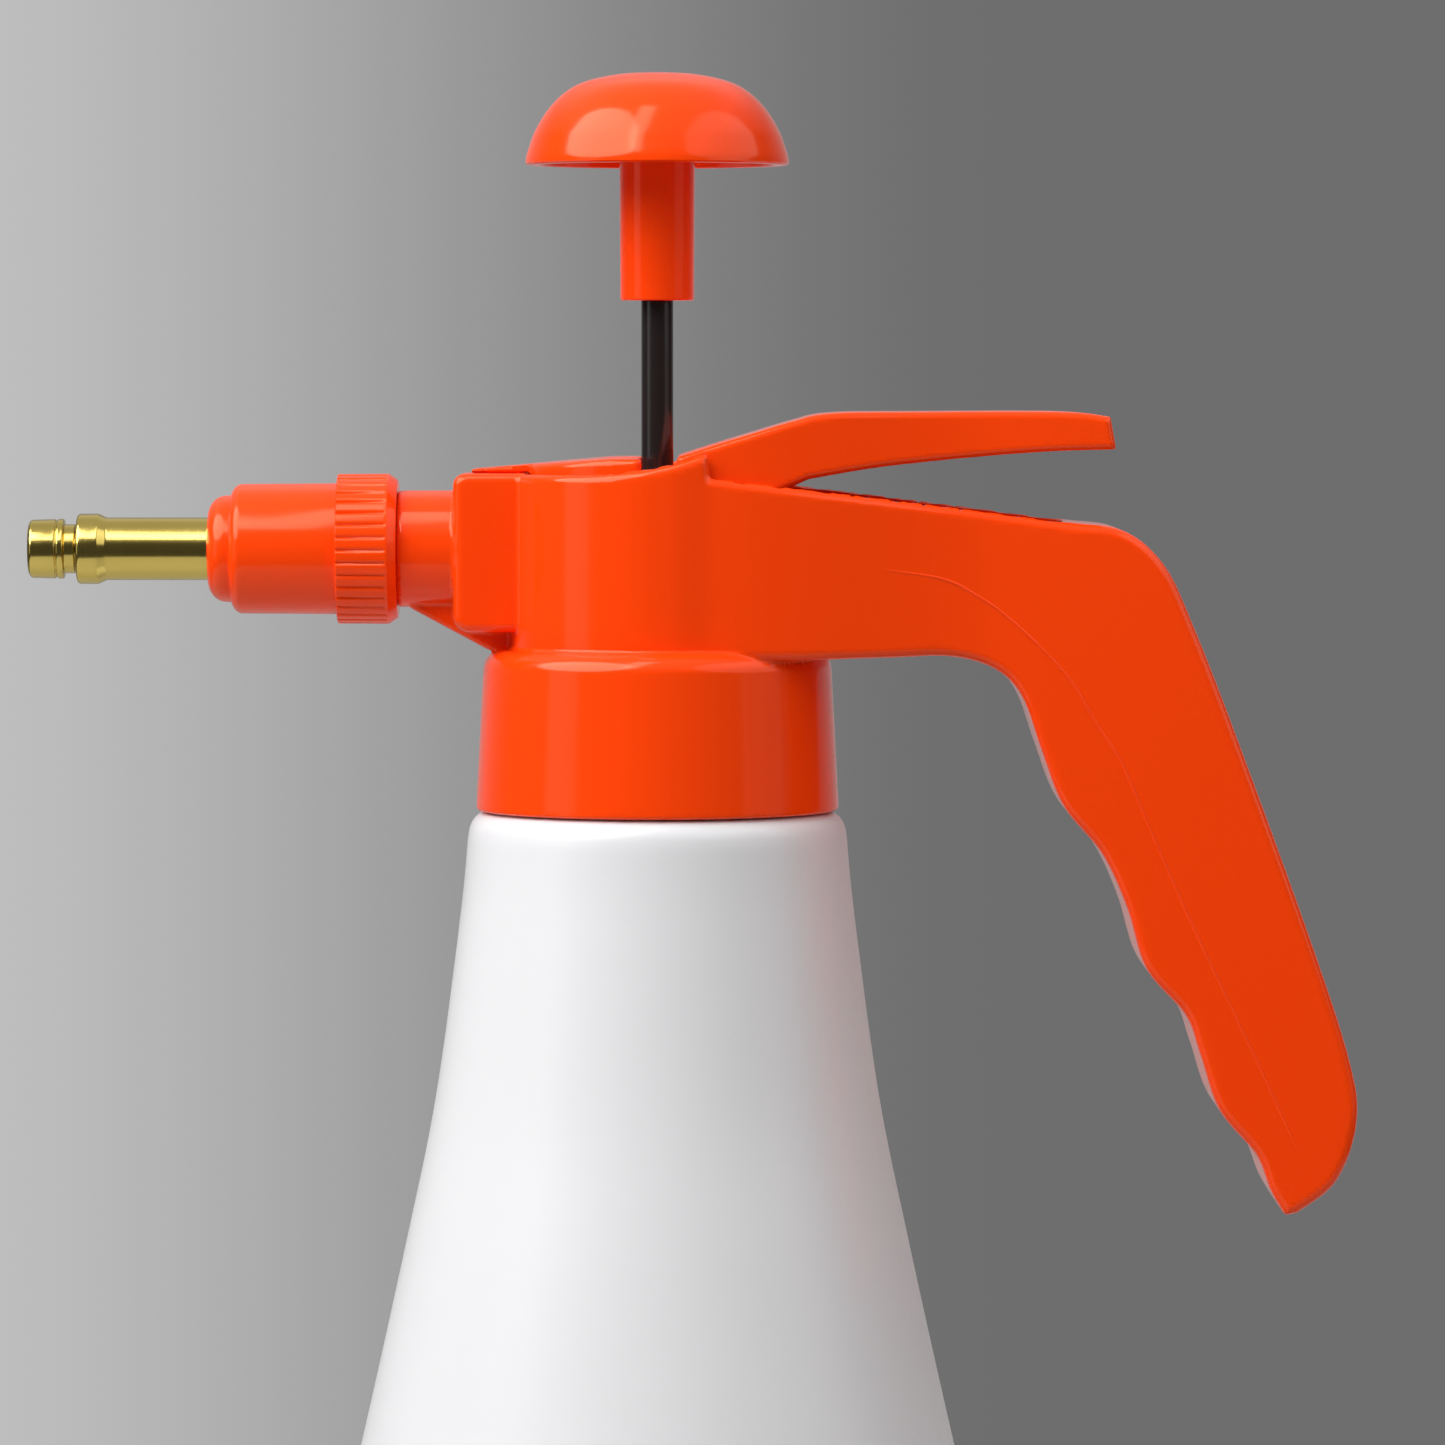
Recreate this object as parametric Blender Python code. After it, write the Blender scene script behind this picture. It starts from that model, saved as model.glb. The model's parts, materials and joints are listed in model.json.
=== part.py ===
"""Hand pump pressure sprayer: a bottle, a screw-on head with a grip and thumb lever, and a plunger pump.

World frame: +Z is up along the pump's axis, the bottle stands on Z = 0, the nozzle points
along -X and the grip is on the +X side. Numbers below are millimetres; MM turns them into metres.
"""

import math

import bmesh
import bpy

MM = 0.001

# ---------------------------------------------------------------- driving dimensions (mm)
GAP = 0.3                    # least gap between two pieces
ROUND_STEPS = 36             # facets round a large turned piece
SMALL_STEPS = 16             # facets round a small turned piece
CUTTER_PHASE = 0.031         # radians by which a turned cutter is rotated about its axis

# bottle
BASE_R = 62.0
SHOULDER_Z = 229.9
NECK_R = 22.4
NECK_BORE_R = 20.2
RIM_Z = 247.6
BOTTLE_WALL = 1.8

# neck thread, one right-hand start
THREAD_PITCH = 4.0
THREAD_TURNS = 1.5
THREAD_START_Z = 236.0
THREAD_ROOT_W = 2.0
THREAD_CREST_W = 1.0
MALE_CREST_R = 24.2
FEMALE_CREST_R = 22.9
THREAD_SINK = 0.4            # how far a ridge is sunk into the wall that carries it

# screw cap, the lowest part of the head
CAP_BOTTOM_Z = 230.3
CAP_TOP_Z = 255.3
CAP_BORE_R = 24.7
CEILING_Z = 249.6

# boss round the pump, and the grip
BOSS_R = 23.2
BOSS_TOP_Z = 282.5
CREASE_X = 7.6               # where the round boss turns into the grip's arm
ARM_END_X = 53.0
GRIP_HALF_W = 15.5
EDGE_R = 1.2
HEAD_WALL = 2.5

# spray line
SPRAY_Z = 270.8
SPRAY_TUBE_R = 9.05
SPRAY_FRONT_X = -40.3
SPIGOT_R = 7.4
SPIGOT_FRONT_X = -52.0
BLOCK_FRONT_X = -31.0
BLOCK_REAR_X = -19.0
BLOCK_HALF_W = 9.6
BLOCK_BOTTOM_Z = 258.1
BLOCK_TOP_Z = 282.6

# lever
PIVOT_X = -18.4
PIVOT_Z = 261.8
PIN_R = 1.5
LEVER_GAP = 1.0
LEVER_FRONT_X = -19.6
LEVER_WALL = 2.2
ARM_HALF_W = 4.6
SLOT_HALF_W = 5.2

# pump
ROD_R = 2.5
STEM_R = 5.75
STEM_BOTTOM_Z = 309.2
KNOB_RIM_Z = 330.1
KNOB_R = 20.4
STEM_BORE_R = 6.6
BARREL_R = 11.4
BARREL_BORE_R = 10.0
BARREL_TOP_Z = 268.0
BARREL_FLOOR_Z = 203.5
BARREL_BORE_IN_HEAD_R = 11.8

# suction line
DIP_X = -16.3
DIP_R = 3.0
DIP_TOP_Z = 254.2

# nozzle
CAP_NUT_REAR_X = -40.6
LANCE_R = 4.85
KNURL_COUNT = 44


# ---------------------------------------------------------------- scene, materials, bodies
def clear_scene():
    for obj in list(bpy.data.objects):
        bpy.data.objects.remove(obj, do_unlink=True)


def make_material(name, colour, roughness, metallic=0.0):
    material = bpy.data.materials.new(name)
    material.use_nodes = True
    shader = material.node_tree.nodes["Principled BSDF"]
    shader.inputs["Base Color"].default_value = (*colour, 1.0)
    shader.inputs["Roughness"].default_value = roughness
    shader.inputs["Metallic"].default_value = metallic
    return material


def make_body(name, x, y, z):
    """An empty on a body's joint axis, which carries the body's pieces."""
    empty = bpy.data.objects.new(name, None)
    empty.location = (x * MM, y * MM, z * MM)
    bpy.context.collection.objects.link(empty)
    return empty


def finish(name, bm, material=None, body=None):
    """Turns a bmesh in world millimetres into an object, with its origin at its body's empty."""
    bmesh.ops.scale(bm, vec=(MM, MM, MM), verts=bm.verts)
    if body is not None:
        bmesh.ops.translate(bm, vec=-body.location, verts=bm.verts)
    bmesh.ops.recalc_face_normals(bm, faces=bm.faces)
    mesh = bpy.data.meshes.new(name)
    bm.to_mesh(mesh)
    bm.free()
    obj = bpy.data.objects.new(name, mesh)
    bpy.context.collection.objects.link(obj)
    if material is not None:
        mesh.materials.append(material)
        mesh.shade_smooth()
        mesh.set_sharp_from_angle(angle=math.radians(35))
    if body is not None:
        obj.parent = body
    return obj


def combine(obj, other, operation):
    """Joins or cuts obj with a helper shape, which the model then hides."""
    modifier = obj.modifiers.new(operation.lower(), "BOOLEAN")
    modifier.operation = operation
    modifier.object = other
    other.hide_render = True
    other.display_type = "WIRE"


# ---------------------------------------------------------------- shape helpers
def smooth_curve(points, steps=4):
    """A Catmull-Rom curve through the points, ends included."""
    padded = [points[0], *points, points[-1]]
    curve = []
    for p0, p1, p2, p3 in zip(padded, padded[1:], padded[2:], padded[3:]):
        for step in range(steps):
            t = step / steps
            curve.append(tuple(
                0.5 * (2 * b + (c - a) * t + (2 * a - 5 * b + 4 * c - d) * t * t
                       + (3 * b - a - 3 * c + d) * t ** 3)
                for a, b, c, d in zip(p0, p1, p2, p3)
            ))
    curve.append(points[-1])
    return curve


def arc(centre, radius, start_deg, end_deg, steps):
    """Points on a circle, from one angle to another."""
    angles = [math.radians(start_deg + (end_deg - start_deg) * i / steps) for i in range(steps + 1)]
    return [(centre[0] + radius * math.cos(a), centre[1] + radius * math.sin(a)) for a in angles]


def turned_mesh(profile, axis="Z", centre=(0.0, 0.0, 0.0), steps=ROUND_STEPS, phase=0.0):
    """A turned solid from a closed loop of (radius, distance along the axis)."""
    bm = bmesh.new()
    rings = []
    for radius, along in profile:
        count = steps if radius > 1e-6 else 1
        ring = []
        for i in range(count):
            angle = 2 * math.pi * i / steps + phase
            a, b = radius * math.cos(angle), radius * math.sin(angle)
            place = (a, b, along) if axis == "Z" else (along, a, b)
            ring.append(bm.verts.new([p + c for p, c in zip(place, centre)]))
        rings.append(ring)
    for ring, following in zip(rings, rings[1:] + rings[:1]):
        for i in range(steps):
            j = (i + 1) % steps
            corners = [ring[i % len(ring)], ring[j % len(ring)]]
            corners += [following[j % len(following)], following[i % len(following)]]
            corners = list(dict.fromkeys(corners))
            if len(corners) > 2:
                bm.faces.new(corners)
    return bm


def turned(name, profile, material=None, body=None, axis="Z", centre=(0.0, 0.0, 0.0), steps=ROUND_STEPS):
    return finish(name, turned_mesh(profile, axis, centre, steps), material, body)


def tube_profile(inner, outer, low, high):
    return [(inner, low), (outer, low), (outer, high), (inner, high)]


def turned_cutter(name, profile, axis="Z", centre=(0.0, 0.0, 0.0), steps=SMALL_STEPS):
    """A turned cutter, rotated a little so that its corners miss those of the piece it cuts."""
    return finish(name, turned_mesh(profile, axis, centre, steps, phase=CUTTER_PHASE))


def rod_cutter(name, radius, low, high, axis="Z", centre=(0.0, 0.0, 0.0), steps=SMALL_STEPS):
    profile = [(0, low), (radius, low), (radius, high), (0, high)]
    return turned_cutter(name, profile, axis, centre, steps)


def prism_mesh(outline, y_low, y_high):
    """An (X, Z) outline extruded along Y."""
    bm = bmesh.new()
    near = [bm.verts.new((x, y_low, z)) for x, z in outline]
    far = [bm.verts.new((x, y_high, z)) for x, z in outline]
    bm.faces.new(near)
    bm.faces.new(far)
    for i in range(len(outline)):
        j = (i + 1) % len(outline)
        bm.faces.new((near[i], near[j], far[j], far[i]))
    bmesh.ops.recalc_face_normals(bm, faces=bm.faces)
    return bm


def side_solid_mesh(outline, half_width, edge_radius, cuts):
    """An (X, Z) outline whose half width in Y follows X, with rounded rims."""
    base = 60.0
    bm = prism_mesh(outline, -base, base)
    if edge_radius > 0:
        rims = [e for e in bm.edges if abs(e.verts[0].co.y - e.verts[1].co.y) < 1e-6]
        bmesh.ops.bevel(bm, geom=rims, offset=edge_radius, segments=2, profile=0.5, affect="EDGES")
    for x in cuts:
        geometry = bm.verts[:] + bm.edges[:] + bm.faces[:]
        bmesh.ops.bisect_plane(bm, geom=geometry, plane_co=(x, 0, 0), plane_no=(1, 0, 0))
    for vert in bm.verts:
        vert.co.y -= math.copysign(base - half_width(vert.co.x), vert.co.y)
    bmesh.ops.triangulate(bm, faces=bm.faces)
    return bm


def box_mesh(x0, x1, y0, y1, z0, z1):
    return prism_mesh([(x0, z0), (x1, z0), (x1, z1), (x0, z1)], y0, y1)


def helix_ridge_mesh(root_r, crest_r, start_z):
    """A thread ridge: a trapezoid swept up a right-hand helix, fading out at both ends."""
    bm = bmesh.new()
    count = round(THREAD_TURNS * ROUND_STEPS)
    fade = 4
    sections = []
    for i in range(count + 1):
        angle = 2 * math.pi * i / ROUND_STEPS
        z = start_z + THREAD_PITCH * i / ROUND_STEPS
        full = min(1.0, (min(i, count - i) + 1) / fade)
        crest = root_r + (crest_r - root_r) * full
        section = []
        for radius, half in ((root_r, THREAD_ROOT_W / 2), (crest, THREAD_CREST_W / 2)):
            for side in (-1, 1):
                point = (radius * math.cos(angle), radius * math.sin(angle), z + side * half)
                section.append(bm.verts.new(point))
        low_root, high_root, low_crest, high_crest = section
        sections.append((low_root, low_crest, high_crest, high_root))
    for one, two in zip(sections, sections[1:]):
        for k in range(4):
            m = (k + 1) % 4
            bm.faces.new((one[k], one[m], two[m], two[k]))
    bm.faces.new(sections[0])
    bm.faces.new(sections[-1])
    return bm


def coil_mesh(radius, wire_r, x_low, x_high, turns, centre_z):
    """A compression spring along X, swept as a closed tube."""
    bm = bmesh.new()
    steps, sides = 14, 6
    rings = []
    count = turns * steps
    for i in range(count + 1):
        angle = 2 * math.pi * i / steps
        x = x_low + (x_high - x_low) * i / count
        ring = []
        for k in range(sides):
            turn = 2 * math.pi * k / sides
            r = radius + wire_r * math.cos(turn)
            place = (x + wire_r * math.sin(turn), r * math.cos(angle), centre_z + r * math.sin(angle))
            ring.append(bm.verts.new(place))
        rings.append(ring)
    for one, two in zip(rings, rings[1:]):
        for k in range(sides):
            m = (k + 1) % sides
            bm.faces.new((one[k], one[m], two[m], two[k]))
    bm.faces.new(rings[0])
    bm.faces.new(rings[-1])
    return bm


# ---------------------------------------------------------------- bottle
def bottle_outer_profile():
    """From the neck's root down over the shoulder and the flare to the base."""
    shoulder = smooth_curve([(25.6, SHOULDER_Z), (27.6, 229.0), (29.3, 226.1)], 3)
    flare = smooth_curve([
        (29.3, 226.1), (30.6, 213.9), (34.4, 186.1), (39.2, 162.6), (46.1, 131.7),
        (53.6, 100.0), (59.6, 70.0), (BASE_R - 0.2, 42.0), (BASE_R, 12.0),
    ], 1)
    return shoulder[:-1] + flare


def make_bottle(material, body):
    heel_r = 6.0
    side = bottle_outer_profile()
    heel = arc((BASE_R - heel_r, heel_r), heel_r, 0, -90, 3)
    base = [(42.0, 0.0), (39.0, 1.6), (21.0, 1.6), (18.0, 0.0), (0.0, 0.0)]
    inner_side = [(r - BOTTLE_WALL, z) for r, z in side if z < 226.0]
    inner_heel = arc((BASE_R - heel_r, heel_r), heel_r - BOTTLE_WALL, 0, -90, 2)
    inside = [(0.0, 3.6), (42.0, 3.6), (48.0, BOTTLE_WALL + 0.6)]
    inside += list(reversed(inner_heel)) + list(reversed(inner_side))
    inside += [(27.0, 226.6), (NECK_BORE_R + 3.0, SHOULDER_Z - BOTTLE_WALL), (NECK_BORE_R, 226.4)]
    neck = [(NECK_BORE_R, RIM_Z), (NECK_R, RIM_Z), (NECK_R, SHOULDER_Z)]
    bottle = turned("bottle", neck + side + heel + base + inside, material, body)
    ridge = helix_ridge_mesh(NECK_R - THREAD_SINK, MALE_CREST_R, THREAD_START_Z)
    combine(bottle, finish("guide_neck_thread", ridge), "UNION")
    return bottle


def make_neck_gasket(material, body):
    turned("neck_gasket", tube_profile(20.5, 24.0, RIM_Z + GAP, CEILING_Z - GAP), material, body)


# ---------------------------------------------------------------- head
def boss_half_width(x, radius):
    return math.sqrt(max(radius ** 2 - x ** 2, 0.25))


def head_half_width(x):
    """Half width in Y of the boss, then of the arm as it narrows to the grip."""
    if x <= CREASE_X:
        return boss_half_width(x, BOSS_R)
    t = min(max((x - CREASE_X) / (ARM_END_X - CREASE_X), 0.0), 1.0)
    root = boss_half_width(CREASE_X, BOSS_R)
    return root + (GRIP_HALF_W - root) * t * t * (3 - 2 * t)


def well_half_width(x):
    """Half width of the open well in the top of the head, in which the lever moves."""
    if x <= CREASE_X:
        return boss_half_width(x, BOSS_R - HEAD_WALL)
    return head_half_width(x) - HEAD_WALL


def lever_half_width(x):
    return well_half_width(x) - LEVER_GAP


def grip_outline():
    """The boss, the arm and the pistol grip seen from the side, with three finger hollows."""
    boss = [(-21.4, 253.0), (-21.4, BOSS_TOP_Z)]
    rise = smooth_curve([(-12.0, BOSS_TOP_Z), (-4.0, 283.0), (3.0, 284.5), (CREASE_X, 282.2)], 3)
    back = smooth_curve([
        (12.0, 281.6), (37.8, 278.5), (62.0, 275.3), (71.5, 273.9), (77.8, 268.6), (82.2, 259.5),
        (88.7, 243.0), (100.0, 212.2), (106.4, 192.7), (107.6, 182.9), (104.5, 173.9), (98.5, 169.0),
    ], 2)
    fingers = smooth_curve([
        (96.6, 168.6), (94.4, 172.4), (92.1, 178.0), (86.5, 184.8), (83.5, 193.4), (81.2, 199.5),
        (75.2, 206.6), (72.2, 216.0), (68.4, 224.2), (62.4, 231.7), (59.1, 240.0), (56.1, 248.3),
        (52.0, 252.6), (45.2, 254.5), (36.0, 254.2), (22.0, 253.0),
    ], 2)
    return boss + rise + back + fingers


def add_head_shapes(head):
    """Joins the boss and grip, valve block, spray tube, web and thread to the screw cap."""
    boss_cuts = [-BOSS_R * math.cos(math.radians(a)) for a in range(32, 108, 8)]
    arm_cuts = [CREASE_X + i * 5.0 for i in range(10)]
    outline = grip_outline()
    grip = side_solid_mesh(outline, head_half_width, EDGE_R, boss_cuts + arm_cuts)
    combine(head, finish("guide_grip", grip), "UNION")

    chamfer = 2.2
    block = prism_mesh([
        (BLOCK_FRONT_X, BLOCK_BOTTOM_Z + chamfer), (BLOCK_FRONT_X + chamfer, BLOCK_BOTTOM_Z),
        (BLOCK_REAR_X, BLOCK_BOTTOM_Z), (BLOCK_REAR_X, BLOCK_TOP_Z),
        (BLOCK_FRONT_X + 2.6, BLOCK_TOP_Z), (BLOCK_FRONT_X + 0.8, BLOCK_TOP_Z - 0.8),
        (BLOCK_FRONT_X, BLOCK_TOP_Z - 3.2),
    ], -BLOCK_HALF_W, BLOCK_HALF_W)
    uprights = [e for e in block.edges if abs(e.verts[0].co.y - e.verts[1].co.y) < 1e-6]
    bmesh.ops.bevel(block, geom=uprights, offset=1.3, segments=2, profile=0.5, affect="EDGES")
    combine(head, finish("guide_block", block), "UNION")

    spray_tube = [
        (0, -20.0), (0, SPIGOT_FRONT_X), (SPIGOT_R - 0.6, SPIGOT_FRONT_X), (SPIGOT_R, SPIGOT_FRONT_X + 0.6),
        (SPIGOT_R, SPRAY_FRONT_X), (SPRAY_TUBE_R - 0.5, SPRAY_FRONT_X),
        (SPRAY_TUBE_R, SPRAY_FRONT_X + 0.5), (SPRAY_TUBE_R, -20.0),
    ]
    combine(head, turned("guide_spray_tube", spray_tube, axis="X", centre=(0, 0, SPRAY_Z)), "UNION")

    web = prism_mesh([(-38.2, 261.7), (-26.5, 255.4), (-22.0, 253.5), (-20.0, 268.0), (-38.2, 268.0)], -3.2, 3.2)
    combine(head, finish("guide_web", web), "UNION")

    ridge = helix_ridge_mesh(CAP_BORE_R + THREAD_SINK, FEMALE_CREST_R, THREAD_START_Z - THREAD_PITCH / 2)
    combine(head, finish("guide_cap_thread", ridge), "UNION")


def cut_head(head):
    """Opens the lever's well, the pump's bore, the suction passage and the valve chamber."""
    well = [(-25.0, 274.0), (25.0, 273.6), (45.0, 271.6), (60.0, 270.2), (63.0, 272.0), (63.0, 290.0), (-25.0, 290.0)]
    well_cuts = [-(BOSS_R - HEAD_WALL) * math.cos(math.radians(a)) for a in range(8, 112, 8)]
    well_cuts += [CREASE_X + i * 6.0 for i in range(8)]
    well_mesh = side_solid_mesh(well, well_half_width, 0, well_cuts)
    front = [v for v in well_mesh.verts if v.co.x < -(BOSS_R - HEAD_WALL)]
    for vert in front:
        vert.co.x = -(BOSS_R - HEAD_WALL) - 0.02
    bmesh.ops.remove_doubles(well_mesh, verts=well_mesh.verts, dist=1e-4)
    combine(head, finish("cutter_well", well_mesh), "DIFFERENCE")

    slot = box_mesh(-21.6, -14.0, -SLOT_HALF_W, SLOT_HALF_W, 258.6, 290.0)
    combine(head, finish("cutter_slot", slot), "DIFFERENCE")

    pump = [(0, 245.0), (BARREL_BORE_IN_HEAD_R, 245.0), (BARREL_BORE_IN_HEAD_R, 270.9),
            (STEM_BORE_R, 270.9), (STEM_BORE_R, 276.0), (0, 276.0)]
    combine(head, turned_cutter("cutter_pump", pump, steps=24), "DIFFERENCE")

    passage_z = 256.4
    riser_x = -25.2
    chamber_low_z = SPRAY_Z - 2.0
    dip = rod_cutter("cutter_dip", DIP_R + GAP, 247.0, passage_z + 1.0, centre=(DIP_X, 0, 0), steps=18)
    combine(head, dip, "DIFFERENCE")
    passage = rod_cutter("cutter_passage", 1.0, riser_x - 0.4, DIP_X, "X", (0, 0, passage_z), 9)
    combine(head, passage, "DIFFERENCE")
    riser = rod_cutter("cutter_riser", 0.9, passage_z + 0.1, chamber_low_z, centre=(riser_x, 0, 0), steps=11)
    combine(head, riser, "DIFFERENCE")

    valve = [(0, -15.9), (4.2, -15.9), (4.2, -24.5), (3.6, -24.5), (3.6, -30.5), (1.7, -31.2), (1.7, -33.5),
             (2.8, -34.6), (2.8, SPIGOT_FRONT_X - 1.0), (0, SPIGOT_FRONT_X - 1.0)]
    combine(head, turned_cutter("cutter_valve", valve, "X", (0, 0, SPRAY_Z)), "DIFFERENCE")

    pin = [(0, -8.3), (PIN_R + GAP, -8.3), (PIN_R + GAP, 16.0), (0, 16.0)]
    pin_mesh = turned_mesh(pin, steps=SMALL_STEPS, phase=CUTTER_PHASE)
    lay_along_y(pin_mesh, PIVOT_X, PIVOT_Z)
    combine(head, finish("cutter_pin", pin_mesh), "DIFFERENCE")


def lay_along_y(bm, x, z):
    """Turns a mesh made round Z so that it lies along Y, through (x, z)."""
    for vert in bm.verts:
        vert.co = (vert.co.x + x, vert.co.z, z - vert.co.y)


def make_head(material, body):
    rim = [(0, CAP_TOP_Z), (24.8, CAP_TOP_Z), (26.3, 254.6), (26.9, 252.8), (28.0, 232.4), (27.6, 231.2),
           (26.0, CAP_BOTTOM_Z), (CAP_BORE_R, CAP_BOTTOM_Z), (CAP_BORE_R, CEILING_Z), (0, CEILING_Z)]
    head = turned("head_housing", rim, material, body)
    add_head_shapes(head)
    cut_head(head)
    return head


def make_lever_pin(material, body):
    pin = [(0, -8.0), (PIN_R - 0.2, -8.0), (PIN_R, -7.6), (PIN_R, 11.4), (PIN_R - 0.2, 11.8), (0, 11.8)]
    pin_mesh = turned_mesh(pin, steps=SMALL_STEPS)
    lay_along_y(pin_mesh, PIVOT_X, PIVOT_Z)
    finish("lever_pin", pin_mesh, material, body)


# ---------------------------------------------------------------- lever
def make_lever(material, body):
    top = smooth_curve([
        (LEVER_FRONT_X, 283.3), (-12.0, 284.3), (-4.0, 285.1), (3.6, 285.4), (12.2, 288.2), (20.9, 290.7),
        (26.6, 291.9), (40.0, 292.1), (62.0, 292.1), (69.6, 291.3),
    ], 2)
    under = smooth_curve([(70.5, 286.3), (60.4, 286.0), (48.4, 285.1), (34.1, 283.6), (23.2, 281.8)], 2)
    root = [(18.0, 279.4), (8.0, 278.8), (LEVER_FRONT_X, 280.0)]
    front_cuts = [-(BOSS_R - HEAD_WALL - LEVER_GAP) * math.cos(math.radians(a)) for a in range(16, 112, 8)]
    cuts = front_cuts + [CREASE_X + i * 6.0 for i in range(8)]
    mesh = side_solid_mesh(top + under + root, lever_half_width, 1.0, cuts)
    lever = finish("trigger_lever", mesh, material, body)

    hub = arc((PIVOT_X, PIVOT_Z), 2.7, 200, 340, 6)
    arm = [(-17.7, 268.0), (-17.7, 276.0), (-13.5, 282.0), (-19.4, 282.0), (-20.9, 280.0), (-20.9, 268.0)]
    combine(lever, finish("guide_arm", prism_mesh(hub + arm, -ARM_HALF_W, ARM_HALF_W)), "UNION")

    hollow_roof = smooth_curve([(16.0, 286.6), (26.6, 289.4), (40.0, 289.7), (66.0, 289.6)], 2)
    hollow = hollow_roof + [(67.6, 283.0), (16.0, 276.0)]
    hollow_mesh = side_solid_mesh(
        hollow, lambda x: lever_half_width(x) - LEVER_WALL, 0, [22.0 + i * 6.0 for i in range(6)])
    combine(lever, finish("cutter_hollow", hollow_mesh), "DIFFERENCE")

    front_x, rear_x, slot_r = -1.9, 5.4, 6.8
    bm = bmesh.new()
    ring = arc((front_x, 0.0), slot_r, 270, 90, 8) + arc((rear_x, 0.0), slot_r, 90, -90, 8)
    low = [bm.verts.new((x, y, 275.0)) for x, y in ring]
    high = [bm.verts.new((x, y, 292.0)) for x, y in ring]
    bm.faces.new(low)
    bm.faces.new(high)
    for i in range(len(ring)):
        j = (i + 1) % len(ring)
        bm.faces.new((low[i], low[j], high[j], high[i]))
    combine(lever, finish("cutter_rod_slot", bm), "DIFFERENCE")

    pin_mesh = turned_mesh([(0, -6.0), (1.85, -6.0), (1.85, 6.0), (0, 6.0)], steps=SMALL_STEPS)
    lay_along_y(pin_mesh, PIVOT_X, PIVOT_Z)
    combine(lever, finish("cutter_lever_pin", pin_mesh), "DIFFERENCE")
    stem = rod_cutter("cutter_stem_hole", 1.9, -23.0, -15.0, "X", (0, 0, SPRAY_Z))
    combine(lever, stem, "DIFFERENCE")


# ---------------------------------------------------------------- spray valve
def make_valve(materials, head_body, stem_body):
    centre = (0, 0, SPRAY_Z)
    stem = [(0, -31.0), (0.8, -31.0), (0.8, -28.7), (2.9, -28.7), (2.9, -27.7), (1.2, -27.7),
            (1.2, -15.9), (0, -15.9)]
    turned("valve_stem", stem, materials["steel"], stem_body, "X", centre, SMALL_STEPS)
    seal = tube_profile(1.1, 2.9, -30.2, -29.0)
    turned("valve_seal", seal, materials["rubber"], stem_body, "X", centre, SMALL_STEPS)
    clip = tube_profile(1.5, 2.3, -17.2, -16.3)
    turned("stem_clip", clip, materials["steel"], stem_body, "X", centre, SMALL_STEPS)
    gland = [(1.5, -24.2), (3.9, -24.2), (3.9, -21.9), (1.5, -21.9)]
    turned("valve_gland", gland, materials["black"], head_body, "X", centre, SMALL_STEPS)
    spring = coil_mesh(2.2, 0.25, -27.0, -24.8, 3, SPRAY_Z)
    finish("valve_spring", spring, materials["steel"], head_body)


# ---------------------------------------------------------------- nozzle
def make_nozzle_cap(material, body):
    centre = (0, 0, SPRAY_Z)
    hole_r = LANCE_R + GAP
    bore_r = SPIGOT_R + 0.4
    profile = [
        (bore_r, CAP_NUT_REAR_X), (10.4, CAP_NUT_REAR_X), (11.2, -41.4), (11.2, -50.1), (10.15, -50.4),
        (10.15, -64.6), (9.7, -65.7), (8.4, -66.2), (8.4, -68.4), (7.6, -69.6), (hole_r, -69.6),
        (hole_r, -57.6), (bore_r, -57.6),
    ]
    cap = turned("nozzle_cap", profile, material, body, "X", centre, KNURL_COUNT // 2)
    bm = bmesh.new()
    rear, front = [], []
    for i in range(2 * KNURL_COUNT):
        angle = math.pi * i / KNURL_COUNT
        r = 11.6 if i % 2 == 0 else 11.0
        y, z = r * math.cos(angle), SPRAY_Z + r * math.sin(angle)
        rear.append(bm.verts.new((-41.8, y, z)))
        front.append(bm.verts.new((-49.7, y, z)))
    for i in range(len(rear)):
        j = (i + 1) % len(rear)
        bm.faces.new((rear[i], rear[j], front[j], front[i]))
    inner_rear = [bm.verts.new((-41.8, v.co.y * 0.8, SPRAY_Z + (v.co.z - SPRAY_Z) * 0.8)) for v in rear[::2]]
    inner_front = [bm.verts.new((-49.7, v.co.y, v.co.z)) for v in inner_rear]
    for outer, inner in ((rear, inner_rear), (front, inner_front)):
        for i in range(KNURL_COUNT):
            j = (i + 1) % KNURL_COUNT
            bm.faces.new((outer[2 * i], outer[2 * i + 1], outer[(2 * i + 2) % len(outer)], inner[j], inner[i]))
    for i in range(KNURL_COUNT):
        j = (i + 1) % KNURL_COUNT
        bm.faces.new((inner_rear[i], inner_rear[j], inner_front[j], inner_front[i]))
    combine(cap, finish("guide_knurl", bm), "UNION")


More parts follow.
